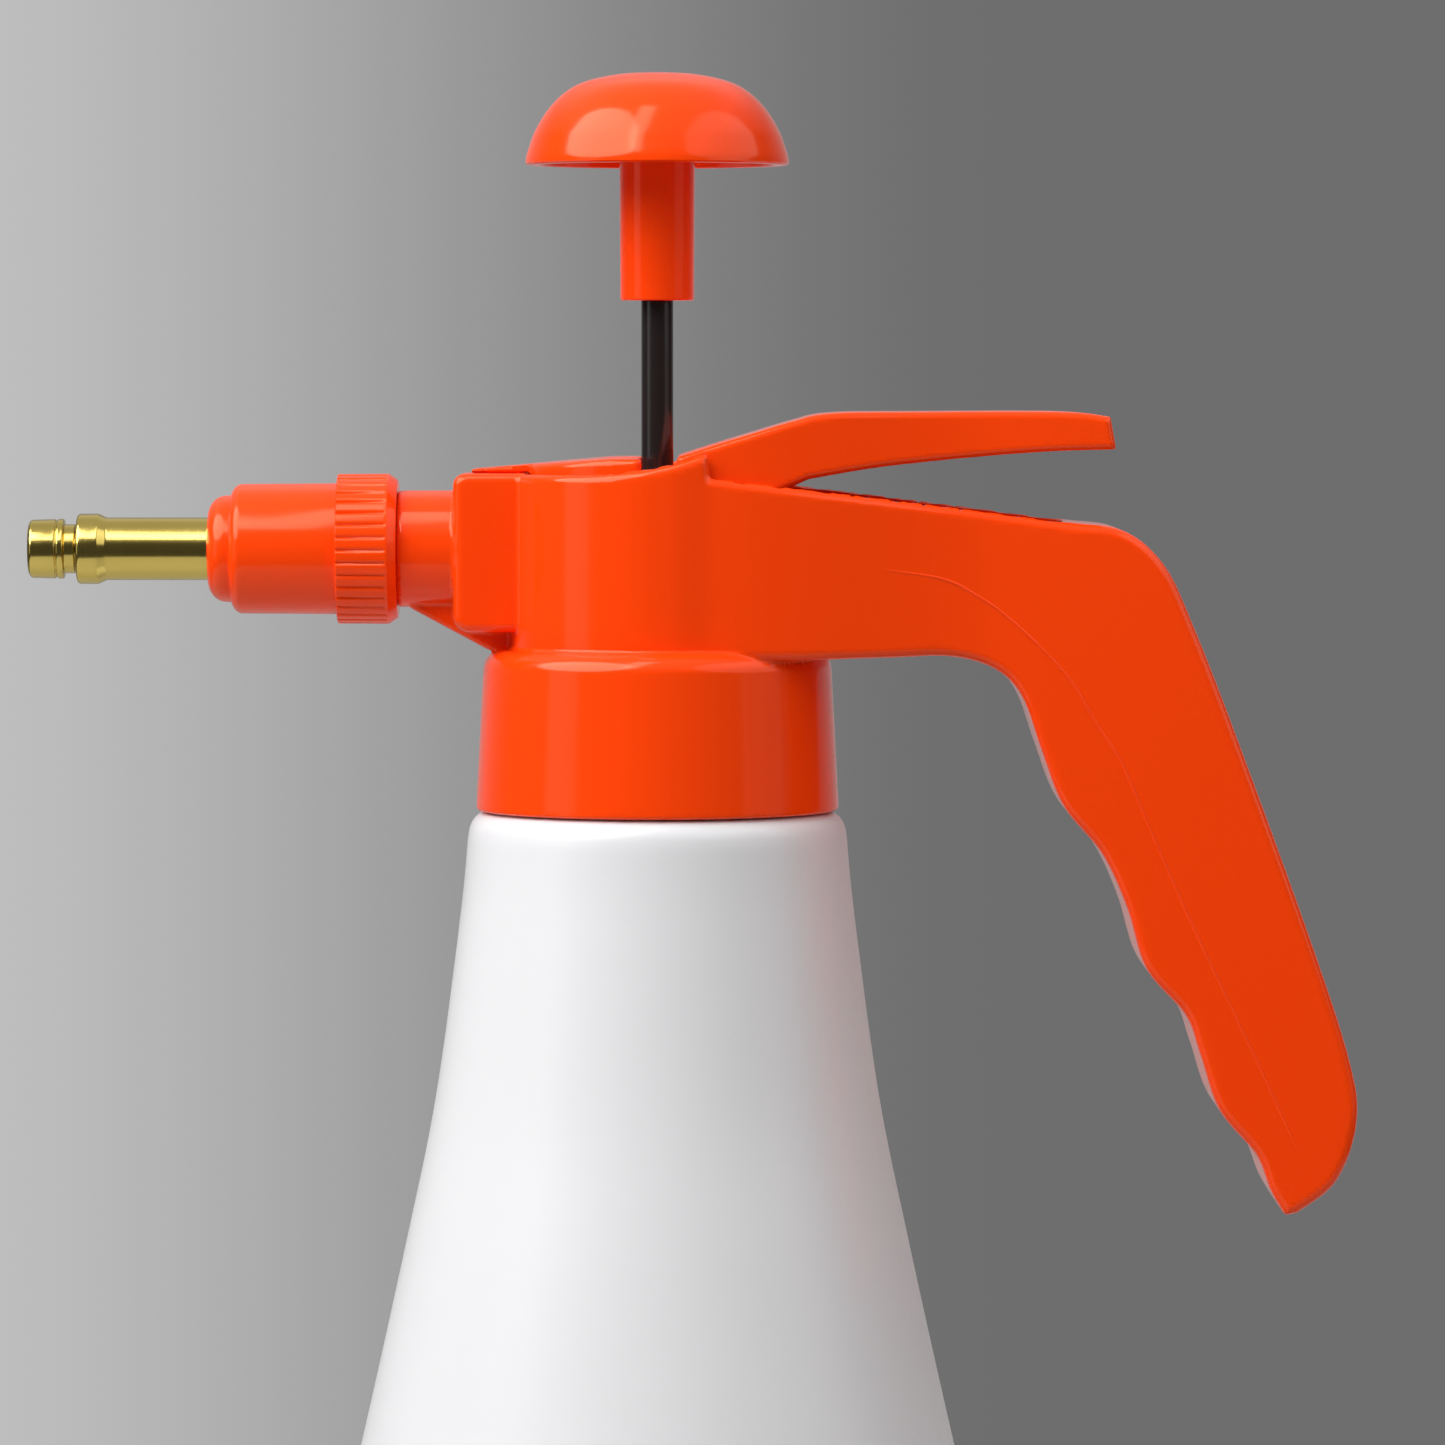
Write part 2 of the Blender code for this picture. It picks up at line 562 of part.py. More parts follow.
def make_lance(materials, lance_body, ring_body, tip_body):
    centre = (0, 0, SPRAY_Z)
    bore_r, spigot_r = 1.6, 2.6
    lance = [
        (bore_r, -55.0), (7.1, -55.0), (7.1, -57.2), (LANCE_R, -57.2), (LANCE_R, -85.5), (5.4, -86.9),
        (5.4, -89.4), (5.0, -89.9), (spigot_r, -89.9), (spigot_r, -94.6), (bore_r, -94.6),
    ]
    turned("brass_lance", lance, materials["brass"], lance_body, "X", centre, 24)
    seal = tube_profile(2.8, 6.8, -54.6, -52.4)
    turned("lance_seal", seal, materials["rubber"], lance_body, "X", centre, SMALL_STEPS)
    bore = spigot_r + 0.35
    tip = [
        (bore, -90.2), (3.8, -90.2), (3.8, -91.8), (4.63, -92.0), (4.63, -92.8), (4.35, -93.0),
        (4.6, -93.3), (4.5, -96.4), (3.9, -97.4), (1.4, -97.4), (0.5, -96.7), (0.5, -96.3), (2.75, -96.3),
        (2.75, -95.0), (bore, -94.95), (bore, -94.4), (3.5, -94.4), (3.5, -93.2), (bore, -93.2),
    ]
    turned("nozzle_tip", tip, materials["brass"], tip_body, "X", centre, 24)
    ring = tube_profile(spigot_r + GAP, 3.2, -94.1, -93.5)
    turned("tip_seal", ring, materials["rubber"], ring_body, "X", centre, SMALL_STEPS)
    core = [(0.6, -96.0), (2.4, -96.0), (2.4, -95.3), (0.6, -95.3)]
    turned("swirl_core", core, materials["steel"], tip_body, "X", centre, 16)


# ---------------------------------------------------------------- pump
def make_knob(material, body):
    dome = arc((0, 0), 1.0, 90, 0, 10)
    height, power = 14.3, 0.84
    outer = [(KNOB_R * (x ** power if x > 0 else 0.0), KNOB_RIM_Z + 1.2 + (height - 1.2) * max(y, 0.0)) for x, y in dome]
    under = [
        (KNOB_R, KNOB_RIM_Z + 0.4), (KNOB_R - 0.4, KNOB_RIM_Z), (KNOB_R - 2.2, KNOB_RIM_Z),
        (KNOB_R - 3.0, KNOB_RIM_Z + 1.4), (8.2, KNOB_RIM_Z + 1.4), (6.6, KNOB_RIM_Z + 0.4),
        (STEM_R, KNOB_RIM_Z - 1.2), (STEM_R - 0.1, STEM_BOTTOM_Z + 0.5), (STEM_R - 0.6, STEM_BOTTOM_Z),
        (ROD_R + GAP, STEM_BOTTOM_Z), (ROD_R + GAP, 325.9), (0, 325.9),
    ]
    turned("pump_knob", outer + under, material, body)


def make_pump(materials, head_body, rod_body, flap_body):
    turned("pump_rod", [(0, 244.8), (ROD_R - 0.3, 244.8), (ROD_R, 245.1), (ROD_R, 325.2), (ROD_R - 0.3, 325.5),
                        (0, 325.5)], materials["rod"], rod_body, steps=SMALL_STEPS)
    bore = ROD_R + GAP
    piston = [(bore, 248.5), (8.6, 248.5), (9.4, 249.3), (9.4, 252.0), (7.6, 252.0), (7.6, 256.0),
              (9.4, 256.0), (9.4, 259.7), (8.6, 260.5), (bore, 260.5)]
    turned("piston", piston, materials["black"], rod_body, steps=24)
    turned("piston_ring", tube_profile(7.9, 9.6, 252.4, 255.6), materials["rubber"], rod_body, steps=24)
    hexagon = 6
    flat_to_corner = 1 / math.cos(math.pi / hexagon)
    nut = tube_profile(bore * flat_to_corner, 4.5 * flat_to_corner, 245.6, 248.1)
    turned("piston_nut", nut, materials["steel"], rod_body, steps=hexagon)

    floor = [(BARREL_BORE_R, BARREL_FLOOR_Z), (1.6, BARREL_FLOOR_Z), (1.6, 201.2), (7.0, 201.2), (7.0, 198.2),
             (7.8, 198.2), (7.8, 201.2), (BARREL_R, 202.0)]
    wall = [(BARREL_R, 246.4), (12.8, 246.4), (12.8, 248.0), (BARREL_R, 248.0), (BARREL_R, BARREL_TOP_Z),
            (BARREL_BORE_R, BARREL_TOP_Z)]
    turned("pump_barrel", floor + wall, materials["natural"], head_body, steps=24)
    seal = tube_profile(12.1, 12.8, 248.3, 249.3)
    turned("barrel_seal", seal, materials["rubber"], head_body, steps=24)
    guide_r = BARREL_BORE_R - 0.35
    guide = [(bore, 262.0), (guide_r, 262.0), (guide_r, 268.3), (11.3, 268.3), (11.3, 270.6), (bore, 270.6)]
    turned("rod_guide", guide, materials["black"], head_body, steps=24)
    cage = [(8.1, 200.8), (9.4, 200.8), (9.4, 195.6), (8.6, 194.8), (2.4, 194.8), (2.4, 196.2), (8.1, 196.2)]
    turned("valve_cage", cage, materials["natural"], head_body, steps=24)
    flap = [(0, 199.2), (5.6, 199.2), (5.6, 200.2), (3.0, 200.8), (0, 200.8)]
    turned("check_valve", flap, materials["rubber"], flap_body, steps=SMALL_STEPS)


# ---------------------------------------------------------------- suction line
def make_suction(materials, body):
    centre = (DIP_X, 0, 0)
    tube = tube_profile(2.0, DIP_R, 8.0, DIP_TOP_Z)
    turned("dip_tube", tube, materials["natural"], body, centre=centre, steps=16)
    cup = [(DIP_R + GAP, 18.0), (4.4, 18.0), (4.4, 5.2), (3.9, 4.6), (0, 4.6), (0, 6.0), (DIP_R + GAP, 6.0)]
    strainer = turned("dip_strainer", cup, materials["black"], body, centre=centre, steps=16)
    for i in range(3):
        slot = box_mesh(-6.0, 6.0, -0.5, 0.5, 6.4, 7.6)
        turn = math.radians(60 * i + 11)
        for vert in slot.verts:
            x, y = vert.co.x, vert.co.y
            vert.co.x = DIP_X + x * math.cos(turn) - y * math.sin(turn)
            vert.co.y = x * math.sin(turn) + y * math.cos(turn)
        combine(strainer, finish(f"cutter_strainer_{i}", slot), "DIFFERENCE")


# ---------------------------------------------------------------- the sprayer
def make_materials():
    return {
        "orange": make_material("orange plastic", (0.84, 0.045, 0.004), 0.28),
        "white": make_material("white bottle plastic", (0.86, 0.86, 0.88), 0.45),
        "natural": make_material("natural plastic", (0.74, 0.74, 0.72), 0.4),
        "black": make_material("black plastic", (0.02, 0.02, 0.02), 0.4),
        "rubber": make_material("black rubber", (0.03, 0.03, 0.03), 0.8),
        "brass": make_material("brass", (0.80, 0.58, 0.22), 0.22, 1.0),
        "steel": make_material("steel", (0.60, 0.60, 0.62), 0.3, 1.0),
        "rod": make_material("black rod", (0.012, 0.011, 0.010), 0.15),
    }


def main():
    clear_scene()
    materials = make_materials()
    bottle_body = make_body("bottle_body", 0, 0, 0)
    gasket_body = make_body("gasket_body", 0, 0, RIM_Z)
    head_body = make_body("head_body", 0, 0, CAP_BOTTOM_Z)
    lever_body = make_body("lever_body", PIVOT_X, 0, PIVOT_Z)
    stem_body = make_body("stem_body", PIVOT_X, 0, SPRAY_Z)
    lance_body = make_body("lance_body", -55.0, 0, SPRAY_Z)
    cap_body = make_body("cap_body", -55.0, 0, SPRAY_Z)
    ring_body = make_body("ring_body", -94.0, 0, SPRAY_Z)
    tip_body = make_body("tip_body", -94.0, 0, SPRAY_Z)
    pump_body = make_body("pump_body", 0, 0, KNOB_RIM_Z)
    flap_body = make_body("flap_body", 0, 0, 200.0)

    make_bottle(materials["white"], bottle_body)
    make_neck_gasket(materials["rubber"], gasket_body)
    make_head(materials["orange"], head_body)
    make_lever_pin(materials["steel"], head_body)
    make_lever(materials["orange"], lever_body)
    make_valve(materials, head_body, stem_body)
    make_nozzle_cap(materials["orange"], cap_body)
    make_lance(materials, lance_body, ring_body, tip_body)
    make_knob(materials["orange"], pump_body)
    make_pump(materials, head_body, pump_body, flap_body)
    make_suction(materials, head_body)


main()
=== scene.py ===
"""Looks of the pump sprayer: fine shapes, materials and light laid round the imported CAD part.

Lengths of shapes are millimetres in the part's own frame (+Z up, the nozzle along -X), and MM turns
them into metres. The head and the lever are meshed from signed distances, so that their edges and
inner corners are rounded as on a moulding. The round pieces are turned from filleted profiles.
"""

import json
import math

import bmesh
import bpy
import numpy as np
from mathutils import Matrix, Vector


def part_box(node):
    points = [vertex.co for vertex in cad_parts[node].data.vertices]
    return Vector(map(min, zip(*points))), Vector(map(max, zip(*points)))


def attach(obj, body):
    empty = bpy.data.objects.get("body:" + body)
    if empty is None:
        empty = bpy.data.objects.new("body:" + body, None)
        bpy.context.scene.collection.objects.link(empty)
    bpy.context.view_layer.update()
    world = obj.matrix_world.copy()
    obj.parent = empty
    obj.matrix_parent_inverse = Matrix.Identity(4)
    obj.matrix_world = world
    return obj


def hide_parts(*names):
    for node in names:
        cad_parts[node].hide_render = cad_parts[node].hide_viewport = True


MM = 0.001
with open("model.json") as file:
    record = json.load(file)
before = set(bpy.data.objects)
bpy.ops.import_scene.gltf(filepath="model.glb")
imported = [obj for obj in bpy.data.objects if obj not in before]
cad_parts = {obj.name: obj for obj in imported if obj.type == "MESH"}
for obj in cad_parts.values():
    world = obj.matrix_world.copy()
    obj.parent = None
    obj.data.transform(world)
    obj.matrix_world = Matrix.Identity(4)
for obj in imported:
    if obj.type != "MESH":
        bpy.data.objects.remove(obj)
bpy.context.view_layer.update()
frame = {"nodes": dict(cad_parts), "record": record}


def edge(node, side, axis):
    """A CAD node's lowest (side 0) or highest (side 1) coordinate on an axis, in millimetres."""
    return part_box(node)[side][axis] / MM


# ---------------------------------------------------------------- sizes read from the CAD part
BASE_R = edge("bottle", 1, 1)
RIM_Z = edge("bottle", 1, 2)
CEILING_Z = edge("neck_gasket", 1, 2) + 0.3
SPIGOT_FRONT_X = edge("head_housing", 0, 0)
ROD_LOW_Z = edge("pump_rod", 0, 2)
ROD_HIGH_Z = edge("pump_rod", 1, 2)
STEM_BOTTOM_Z = edge("pump_knob", 0, 2)
KNOB_TOP_Z = edge("pump_knob", 1, 2)
NUT_REAR_X = edge("nozzle_cap", 1, 0) + 0.45
LANCE_REAR_X = edge("brass_lance", 1, 0)
TIP_FRONT_X = edge("nozzle_tip", 0, 0)

# ---------------------------------------------------------------- sizes of the visible shapes
SHOULDER_Z = 230.15
NECK_R = 22.4
NECK_BORE_R = 20.2
BOTTLE_WALL = 1.8
THREAD_PITCH = 4.0
THREAD_TURNS = 1.5
NECK_THREAD_Z = 236.0
NECK_THREAD_R = 24.2
CAP_THREAD_R = 22.9

CAP_BOTTOM_Z = 230.3
CAP_TOP_Z = 255.3
CAP_BORE_R = 24.7
CAP_WIDE_R = 28.05
CAP_WIDE_Z = 232.4
CAP_TAPER = 0.052
BOSS_R = 23.2
BOSS_TOP_Z = 282.6
CREASE_X = 7.6
CREASE_SOFTNESS = 0.6
ARM_ROOT_W = 21.92
ARM_END_X = 53.0
GRIP_HALF_W = 15.5
GRIP_LINE_HALF_W = 0.22
GRIP_LINE_TALL = 0.13
HEAD_WALL = 1.5
HEAD_GRID = 0.72
BLOCK_HALF_W = 9.6
WEB_HALF_W = 3.2
SLOT_HALF_W = 5.2
BARREL_BORE_R = 11.8
STEM_BORE_R = 6.6
DIP_BORE_R = 3.3
DIP_X = -16.3
PASSAGE_Z = 256.4
RISER_X = -25.2

PIVOT = (-18.4, 261.8)
LEVER_INSET = 2.0
LEVER_WALL = 2.2
LEVER_GRID = 0.56
LEVER_ARM_HALF_W = 4.6
NOSE_HALF_W = 7.1
ROD_SLOT_R = 6.8

SPRAY_Z = 270.8
SPRAY_TUBE_R = 9.05
SPRAY_FRONT_X = -40.3
SPIGOT_R = 7.4
SPIGOT_BORE_R = 2.8
SPIGOT_PITCH = 2.0
NUT_BORE_R = 7.8
LANCE_R = 4.85
LANCE_RING_R = 5.45
LANCE_BORE_R = 1.6
FLANGE_R = 7.1
KNURL_COUNT = 36
KNURL_DEPTH = 0.34
NUT_RIM_X = NUT_REAR_X - 1.7

ROD_R = 2.5
STEM_R = 5.75
SOCKET_R = ROD_R + 0.3
SOCKET_TOP_Z = 325.9
KNOB_R = 20.4
KNOB_RIM_Z = 330.1

FLOOR_R = 520.0
FLOOR_T = 4.0

# ---------------------------------------------------------------- camera and light, in metres and degrees
LIT_POINT = Vector((0.01, 0.0, 0.26))
CAMERA_PLACE = (0.0101, -1.17, 0.2977)
CAMERA_TILT = 2.636
CAMERA_LENS = 188.0


# ---------------------------------------------------------------- curves and outlines
def smooth_curve(points, steps=10):
    """A Catmull-Rom curve through the points, ends included."""
    padded = [points[0], *points, points[-1]]
    curve = []
    for p0, p1, p2, p3 in zip(padded, padded[1:], padded[2:], padded[3:]):
        for step in range(steps):
            t = step / steps
            curve.append(tuple(
                0.5 * (2 * b + (c - a) * t + (2 * a - 5 * b + 4 * c - d) * t * t
                       + (3 * b - a - 3 * c + d) * t ** 3)
                for a, b, c, d in zip(p0, p1, p2, p3)
            ))
    curve.append(points[-1])
    return curve


def filleted(points, steps=6):
    """A closed outline in which a corner's third number is its fillet radius."""
    outline = []
    for i, point in enumerate(points):
        here = np.array(point[:2], float)
        radius = point[2] if len(point) > 2 else 0.0
        if radius == 0:
            outline.append(tuple(here))
            continue
        back = np.array(points[i - 1][:2], float) - here
        ahead = np.array(points[(i + 1) % len(points)][:2], float) - here
        back_length, ahead_length = np.hypot(*back), np.hypot(*ahead)
        back, ahead = back / back_length, ahead / ahead_length
        half = math.acos(float(np.clip(back @ ahead, -1, 1))) / 2
        room = [0.48 if len(points[k % len(points)]) > 2 else 0.96 for k in (i - 1, i + 1)]
        setback = min(radius / math.tan(half), room[0] * back_length, room[1] * ahead_length)
        radius = setback * math.tan(half)
        middle = (back + ahead) / np.hypot(*(back + ahead))
        centre = here + middle * radius / math.sin(half)
        start = math.atan2(*(here + back * setback - centre)[::-1])
        end = math.atan2(*(here + ahead * setback - centre)[::-1])
        turn = (end - start + math.pi) % (2 * math.pi) - math.pi
        for k in range(steps + 1):
            angle = start + turn * k / steps
            outline.append((centre[0] + radius * math.cos(angle), centre[1] + radius * math.sin(angle)))
    return outline


class Outline:
    """The signed distance to a closed outline, negative inside, read from a table by B-spline weights."""

    CELL = 0.25
    MARGIN = 4.0

    def __init__(self, points):
        corners = np.array(points, float)
        self.low = corners.min(0) - self.MARGIN
        counts = np.ceil((corners.max(0) + self.MARGIN - self.low) / self.CELL).astype(int) + 1
        a = self.low[0] + np.arange(counts[0])[:, None] * self.CELL
        b = self.low[1] + np.arange(counts[1])[None, :] * self.CELL
        nearest = np.full(counts, np.inf)
        inside = np.zeros(counts, bool)
        for p, q in zip(corners, np.roll(corners, -1, axis=0)):
            run = q - p
            if run @ run < 1e-12:
                continue
            along = np.clip(((a - p[0]) * run[0] + (b - p[1]) * run[1]) / (run @ run), 0, 1)
            gap_a, gap_b = a - p[0] - along * run[0], b - p[1] - along * run[1]
            nearest = np.minimum(nearest, gap_a ** 2 + gap_b ** 2)
            if run[1] != 0:
                crossed = (p[1] > b) != (q[1] > b)
                inside ^= crossed & (a < p[0] + (b - p[1]) * run[0] / run[1])
        self.table = np.where(inside, -1.0, 1.0) * np.sqrt(nearest)

    def __call__(self, a, b):
        a, b = np.broadcast_arrays(a, b)
        total = 0.0
        (i, wi), (j, wj) = (self.weights(v, k) for k, v in enumerate((a, b)))
        for di in range(4):
            for dj in range(4):
                total = total + wi[di] * wj[dj] * self.table[i + di, j + dj]
        return total

    def weights(self, value, axis):
        """The first of four table rows round a coordinate, and their B-spline weights."""
        place = (value - self.low[axis]) / self.CELL
        place = np.clip(place, 1, self.table.shape[axis] - 3)
        first = np.floor(place).astype(int)
        t = place - first
        weights = ((1 - t) ** 3, 3 * t ** 3 - 6 * t ** 2 + 4, -3 * t ** 3 + 3 * t ** 2 + 3 * t + 1, t ** 3)
        return first - 1, [w / 6 for w in weights]


# ---------------------------------------------------------------- joining and cutting distances
def join(a, b, fillet):
    """Two solids as one, with a fillet where they meet."""
    return np.maximum(fillet, np.minimum(a, b)) - np.hypot(
        np.maximum(fillet - a, 0), np.maximum(fillet - b, 0))


def meet(a, b, rounding):
    """What two solids share, with its edge rounded."""
    return np.minimum(-rounding, np.maximum(a, b)) + np.hypot(
        np.maximum(rounding + a, 0), np.maximum(rounding + b, 0))


def cut(a, b, rounding):
    """The first solid without the second, with the rim rounded."""
    return meet(a, -b, rounding)


def between(value, low, high):
    """The distance to a slab."""
    return np.maximum(low - value, value - high)


# ---------------------------------------------------------------- meshes
def surface_nets(field):
    """The zero surface of a grid of distances: one vertex a crossed cell, one quad a crossed edge."""
    shape = np.array(field.shape)
    inside = field < 0
    corners = [(i, j, k) for i in (0, 1) for j in (0, 1) for k in (0, 1)]
    views = {c: inside[tuple(slice(o, n - 1 + o) for o, n in zip(c, shape))] for c in corners}
    count = sum(v.astype(np.int8) for v in views.values())
    cells = np.argwhere((count > 0) & (count < 8))
    number = np.full(shape - 1, -1)
    number[tuple(cells.T)] = np.arange(len(cells))

    total = np.zeros((len(cells), 3))
    crossings = np.zeros(len(cells))
    for c in corners:
        for axis in range(3):
            if c[axis]:
                continue
            other = tuple(o + (k == axis) for k, o in enumerate(c))
            one = field[tuple((cells + c).T)]
            two = field[tuple((cells + other).T)]
            crossed = (one < 0) != (two < 0)
            place = cells[crossed] + np.array(c, float)
            place[:, axis] += one[crossed] / (one[crossed] - two[crossed])
            total[crossed] += place
            crossings += crossed
    points = total / crossings[:, None]

    quads = []
    for axis in range(3):
        u, v = (axis + 1) % 3, (axis + 2) % 3
        low = np.take(inside, range(shape[axis] - 1), axis)
        high = np.take(inside, range(1, shape[axis]), axis)
        edges = np.argwhere(low != high)
        sideways = edges[:, [u, v]]
        edges = edges[np.all((sideways > 0) & (sideways < shape[[u, v]] - 1), axis=1)]
        ring = []
        for du, dv in ((1, 1), (0, 1), (0, 0), (1, 0)):
            cell = edges.copy()
            cell[:, u] -= du
            cell[:, v] -= dv
            ring.append(number[tuple(cell.T)])
        ring = np.stack(ring, axis=1)
        outward = low[tuple(edges.T)]
        quads.append(np.where(outward[:, None], ring, ring[:, ::-1]))
    return points, np.concatenate(quads)


def gradient(distance, points, reach=0.04):
    """The direction in which a distance grows, at each point."""
    slopes = []
    for axis in range(3):
        offset = np.zeros(3)
        offset[axis] = reach
        ahead, back = points + offset, points - offset
        slopes.append((distance(*ahead.T) - distance(*back.T)) / (2 * reach))
    return np.stack(slopes, axis=1)


def moulded_mesh(name, distance, low, high, step):
    """Meshes a distance, with every vertex and normal on its true surface."""
    axes = [np.arange(math.floor(a / step), math.ceil(b / step) + 1) * step for a, b in zip(low, high)]
    field = distance(axes[0][:, None, None], axes[1][None, :, None], axes[2][None, None, :])
    points, quads = surface_nets(field)
    points = points * step + np.array([a[0] for a in axes])
    for _ in range(3):
        slope = gradient(distance, points)
        size = np.maximum((slope ** 2).sum(1), 0.3)
        move = np.clip(distance(*points.T) / size, -0.5 * step, 0.5 * step)
        points = points - move[:, None] * slope
    slope = gradient(distance, points)
    normals = slope / np.maximum(np.linalg.norm(slope, axis=1), 1e-6)[:, None]
    mesh = bpy.data.meshes.new(name)
    mesh.from_pydata((points * MM).tolist(), [], quads.tolist())
    mesh.shade_smooth()
    mesh.normals_split_custom_set_from_vertices(normals.tolist())
    return mesh


def turned_mesh(name, profile, axis="Z", centre=(0.0, 0.0, 0.0), segments=128, relief=None):
    """A turned solid from a closed outline of (radius, place along the axis).

    relief(angle, radius, along) is added to the radius, for threads and knurls.
    """
    outline = np.array(profile, float)
    radius, along = outline[:, :1], outline[:, 1:]
    angle = np.arange(segments)[None, :] * 2 * math.pi / segments
    if relief is not None:
        radius = radius + relief(angle, radius, along)
    flat = np.broadcast_to(along, (len(outline), segments))
    a, b = radius * np.cos(angle), radius * np.sin(angle)
    places = (a, b, flat) if axis == "Z" else (flat, a, b)
    points = np.stack(places, axis=-1).reshape(-1, 3) + np.array(centre)
    ring = np.arange(len(outline))[:, None] * segments
    step = np.arange(segments)[None, :]
    here, beside = ring + step, ring + (step + 1) % segments
    faces = np.stack([here, beside, np.roll(beside, -1, 0), np.roll(here, -1, 0)], axis=-1).reshape(-1, 4)
    mesh = bpy.data.meshes.new(name)
    mesh.from_pydata((points * MM).tolist(), [], faces.tolist())
    tidy_mesh(mesh)
    return mesh


def tidy_mesh(mesh):
    """Welds a turned or swept mesh, turns its faces outwards and shades it smooth except at corners."""
    bm = bmesh.new()
    bm.from_mesh(mesh)
    bmesh.ops.remove_doubles(bm, verts=bm.verts, dist=1e-7)
    bmesh.ops.recalc_face_normals(bm, faces=bm.faces)
    bm.to_mesh(mesh)
    bm.free()
    mesh.shade_smooth()
    mesh.set_sharp_from_angle(angle=math.radians(40))


def swept_mesh(name, path, across, up, section, scale=None):
    """A closed section of (across, up) swept along a path, with flat ends."""
    path, across, up = np.array(path), np.array(across), np.array(up)
    section = np.array(section, float)
    sizes = np.ones(len(path)) if scale is None else np.array(scale)
    rings = (path[:, None, :] + section[None, :, :1] * across[:, None, :]
             + section[None, :, 1:] * up[:, None, :] * sizes[:, None, None])
    count = len(section)
    faces = []
    for i in range(len(path) - 1):
        for k in range(count):
            m = (k + 1) % count
            faces.append((i * count + k, i * count + m, (i + 1) * count + m, (i + 1) * count + k))
    faces.append(tuple(range(count)))
    faces.append(tuple((len(path) - 1) * count + k for k in range(count)))
    mesh = bpy.data.meshes.new(name)
    mesh.from_pydata((rings.reshape(-1, 3) * MM).tolist(), [], faces)
    tidy_mesh(mesh)
    return mesh


def place(name, mesh, material, body, slot, *nodes):
    """Puts a finished mesh on its body, in place of the CAD nodes that it stands for."""
    piece = bpy.data.objects.new(name, mesh)
    bpy.context.scene.collection.objects.link(piece)
    mesh.materials.append(material)
    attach(piece, body)
    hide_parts(*nodes)
    return piece


# ---------------------------------------------------------------- materials
def plastic(name, colour, tint, roughness, grain=900.0, bump=0.02, subsurface=0.0, gloss=(1.0, 1.0, 1.0)):
    """Moulded plastic: a base colour that drifts slowly to a tint, and the faint grain of the mould."""
    material = bpy.data.materials.new(name)
    material.use_nodes = True
    nodes, links = material.node_tree.nodes, material.node_tree.links
    shader = nodes["Principled BSDF"]
    shader.inputs["Metallic"].default_value = 0.0
    shader.inputs["IOR"].default_value = 1.5
    shader.inputs["Specular Tint"].default_value = (*gloss, 1.0)
    if subsurface > 0:
        shader.inputs["Subsurface Weight"].default_value = subsurface
        shader.inputs["Subsurface Radius"].default_value = (1.0, 1.0, 1.0)
        shader.inputs["Subsurface Scale"].default_value = 0.004
    place_in = nodes.new("ShaderNodeTexCoord")

    drift = noise_node(nodes, links, place_in, 14.0, 2.0)
    blend = nodes.new("ShaderNodeMix")
    blend.data_type = "RGBA"
    blend.inputs["A"].default_value = (*colour, 1.0)
    blend.inputs["B"].default_value = (*tint, 1.0)
    links.new(drift.outputs["Fac"], blend.inputs["Factor"])
    links.new(blend.outputs["Result"], shader.inputs["Base Color"])

    wear = noise_node(nodes, links, place_in, 45.0, 3.0)
    spread = nodes.new("ShaderNodeMapRange")
    spread.inputs["To Min"].default_value = roughness - 0.03
    spread.inputs["To Max"].default_value = roughness + 0.05
    links.new(wear.outputs["Fac"], spread.inputs["Value"])
    links.new(spread.outputs["Result"], shader.inputs["Roughness"])

    fine = noise_node(nodes, links, place_in, grain, 2.0)
    relief = nodes.new("ShaderNodeBump")
    relief.inputs["Strength"].default_value = bump
    relief.inputs["Distance"].default_value = 0.0002
    links.new(fine.outputs["Fac"], relief.inputs["Height"])
    links.new(relief.outputs["Normal"], shader.inputs["Normal"])
    return material


def noise_node(nodes, links, coordinates, scale, detail):
    noise = nodes.new("ShaderNodeTexNoise")
    noise.inputs["Scale"].default_value = scale
    noise.inputs["Detail"].default_value = detail
    links.new(coordinates.outputs["Object"], noise.inputs["Vector"])
    return noise


def turned_metal(name, colour, dark, roughness, axis):
    """Turned metal: fine lathe rings across the axis, and a slow stain."""
    material = bpy.data.materials.new(name)
    material.use_nodes = True
    nodes, links = material.node_tree.nodes, material.node_tree.links
    shader = nodes["Principled BSDF"]
    shader.inputs["Metallic"].default_value = 1.0
    place_in = nodes.new("ShaderNodeTexCoord")

    stain = noise_node(nodes, links, place_in, 60.0, 3.0)
    blend = nodes.new("ShaderNodeMix")
    blend.data_type = "RGBA"
    blend.inputs["A"].default_value = (*colour, 1.0)
    blend.inputs["B"].default_value = (*dark, 1.0)
    links.new(stain.outputs["Fac"], blend.inputs["Factor"])
    links.new(blend.outputs["Result"], shader.inputs["Base Color"])

    rings = nodes.new("ShaderNodeMapping")
    rings.inputs["Scale"].default_value = tuple(2600.0 if k == axis else 4.0 for k in range(3))
    links.new(place_in.outputs["Object"], rings.inputs["Vector"])
    groove = nodes.new("ShaderNodeTexNoise")
    groove.inputs["Scale"].default_value = 1.0
    groove.inputs["Detail"].default_value = 2.0
    links.new(rings.outputs["Vector"], groove.inputs["Vector"])
    spread = nodes.new("ShaderNodeMapRange")
    spread.inputs["To Min"].default_value = roughness - 0.04
    spread.inputs["To Max"].default_value = roughness + 0.08
    links.new(groove.outputs["Fac"], spread.inputs["Value"])
    links.new(spread.outputs["Result"], shader.inputs["Roughness"])
    relief = nodes.new("ShaderNodeBump")
    relief.inputs["Strength"].default_value = 0.06
    relief.inputs["Distance"].default_value = 0.0001
    links.new(groove.outputs["Fac"], relief.inputs["Height"])
    links.new(relief.outputs["Normal"], shader.inputs["Normal"])
    return material


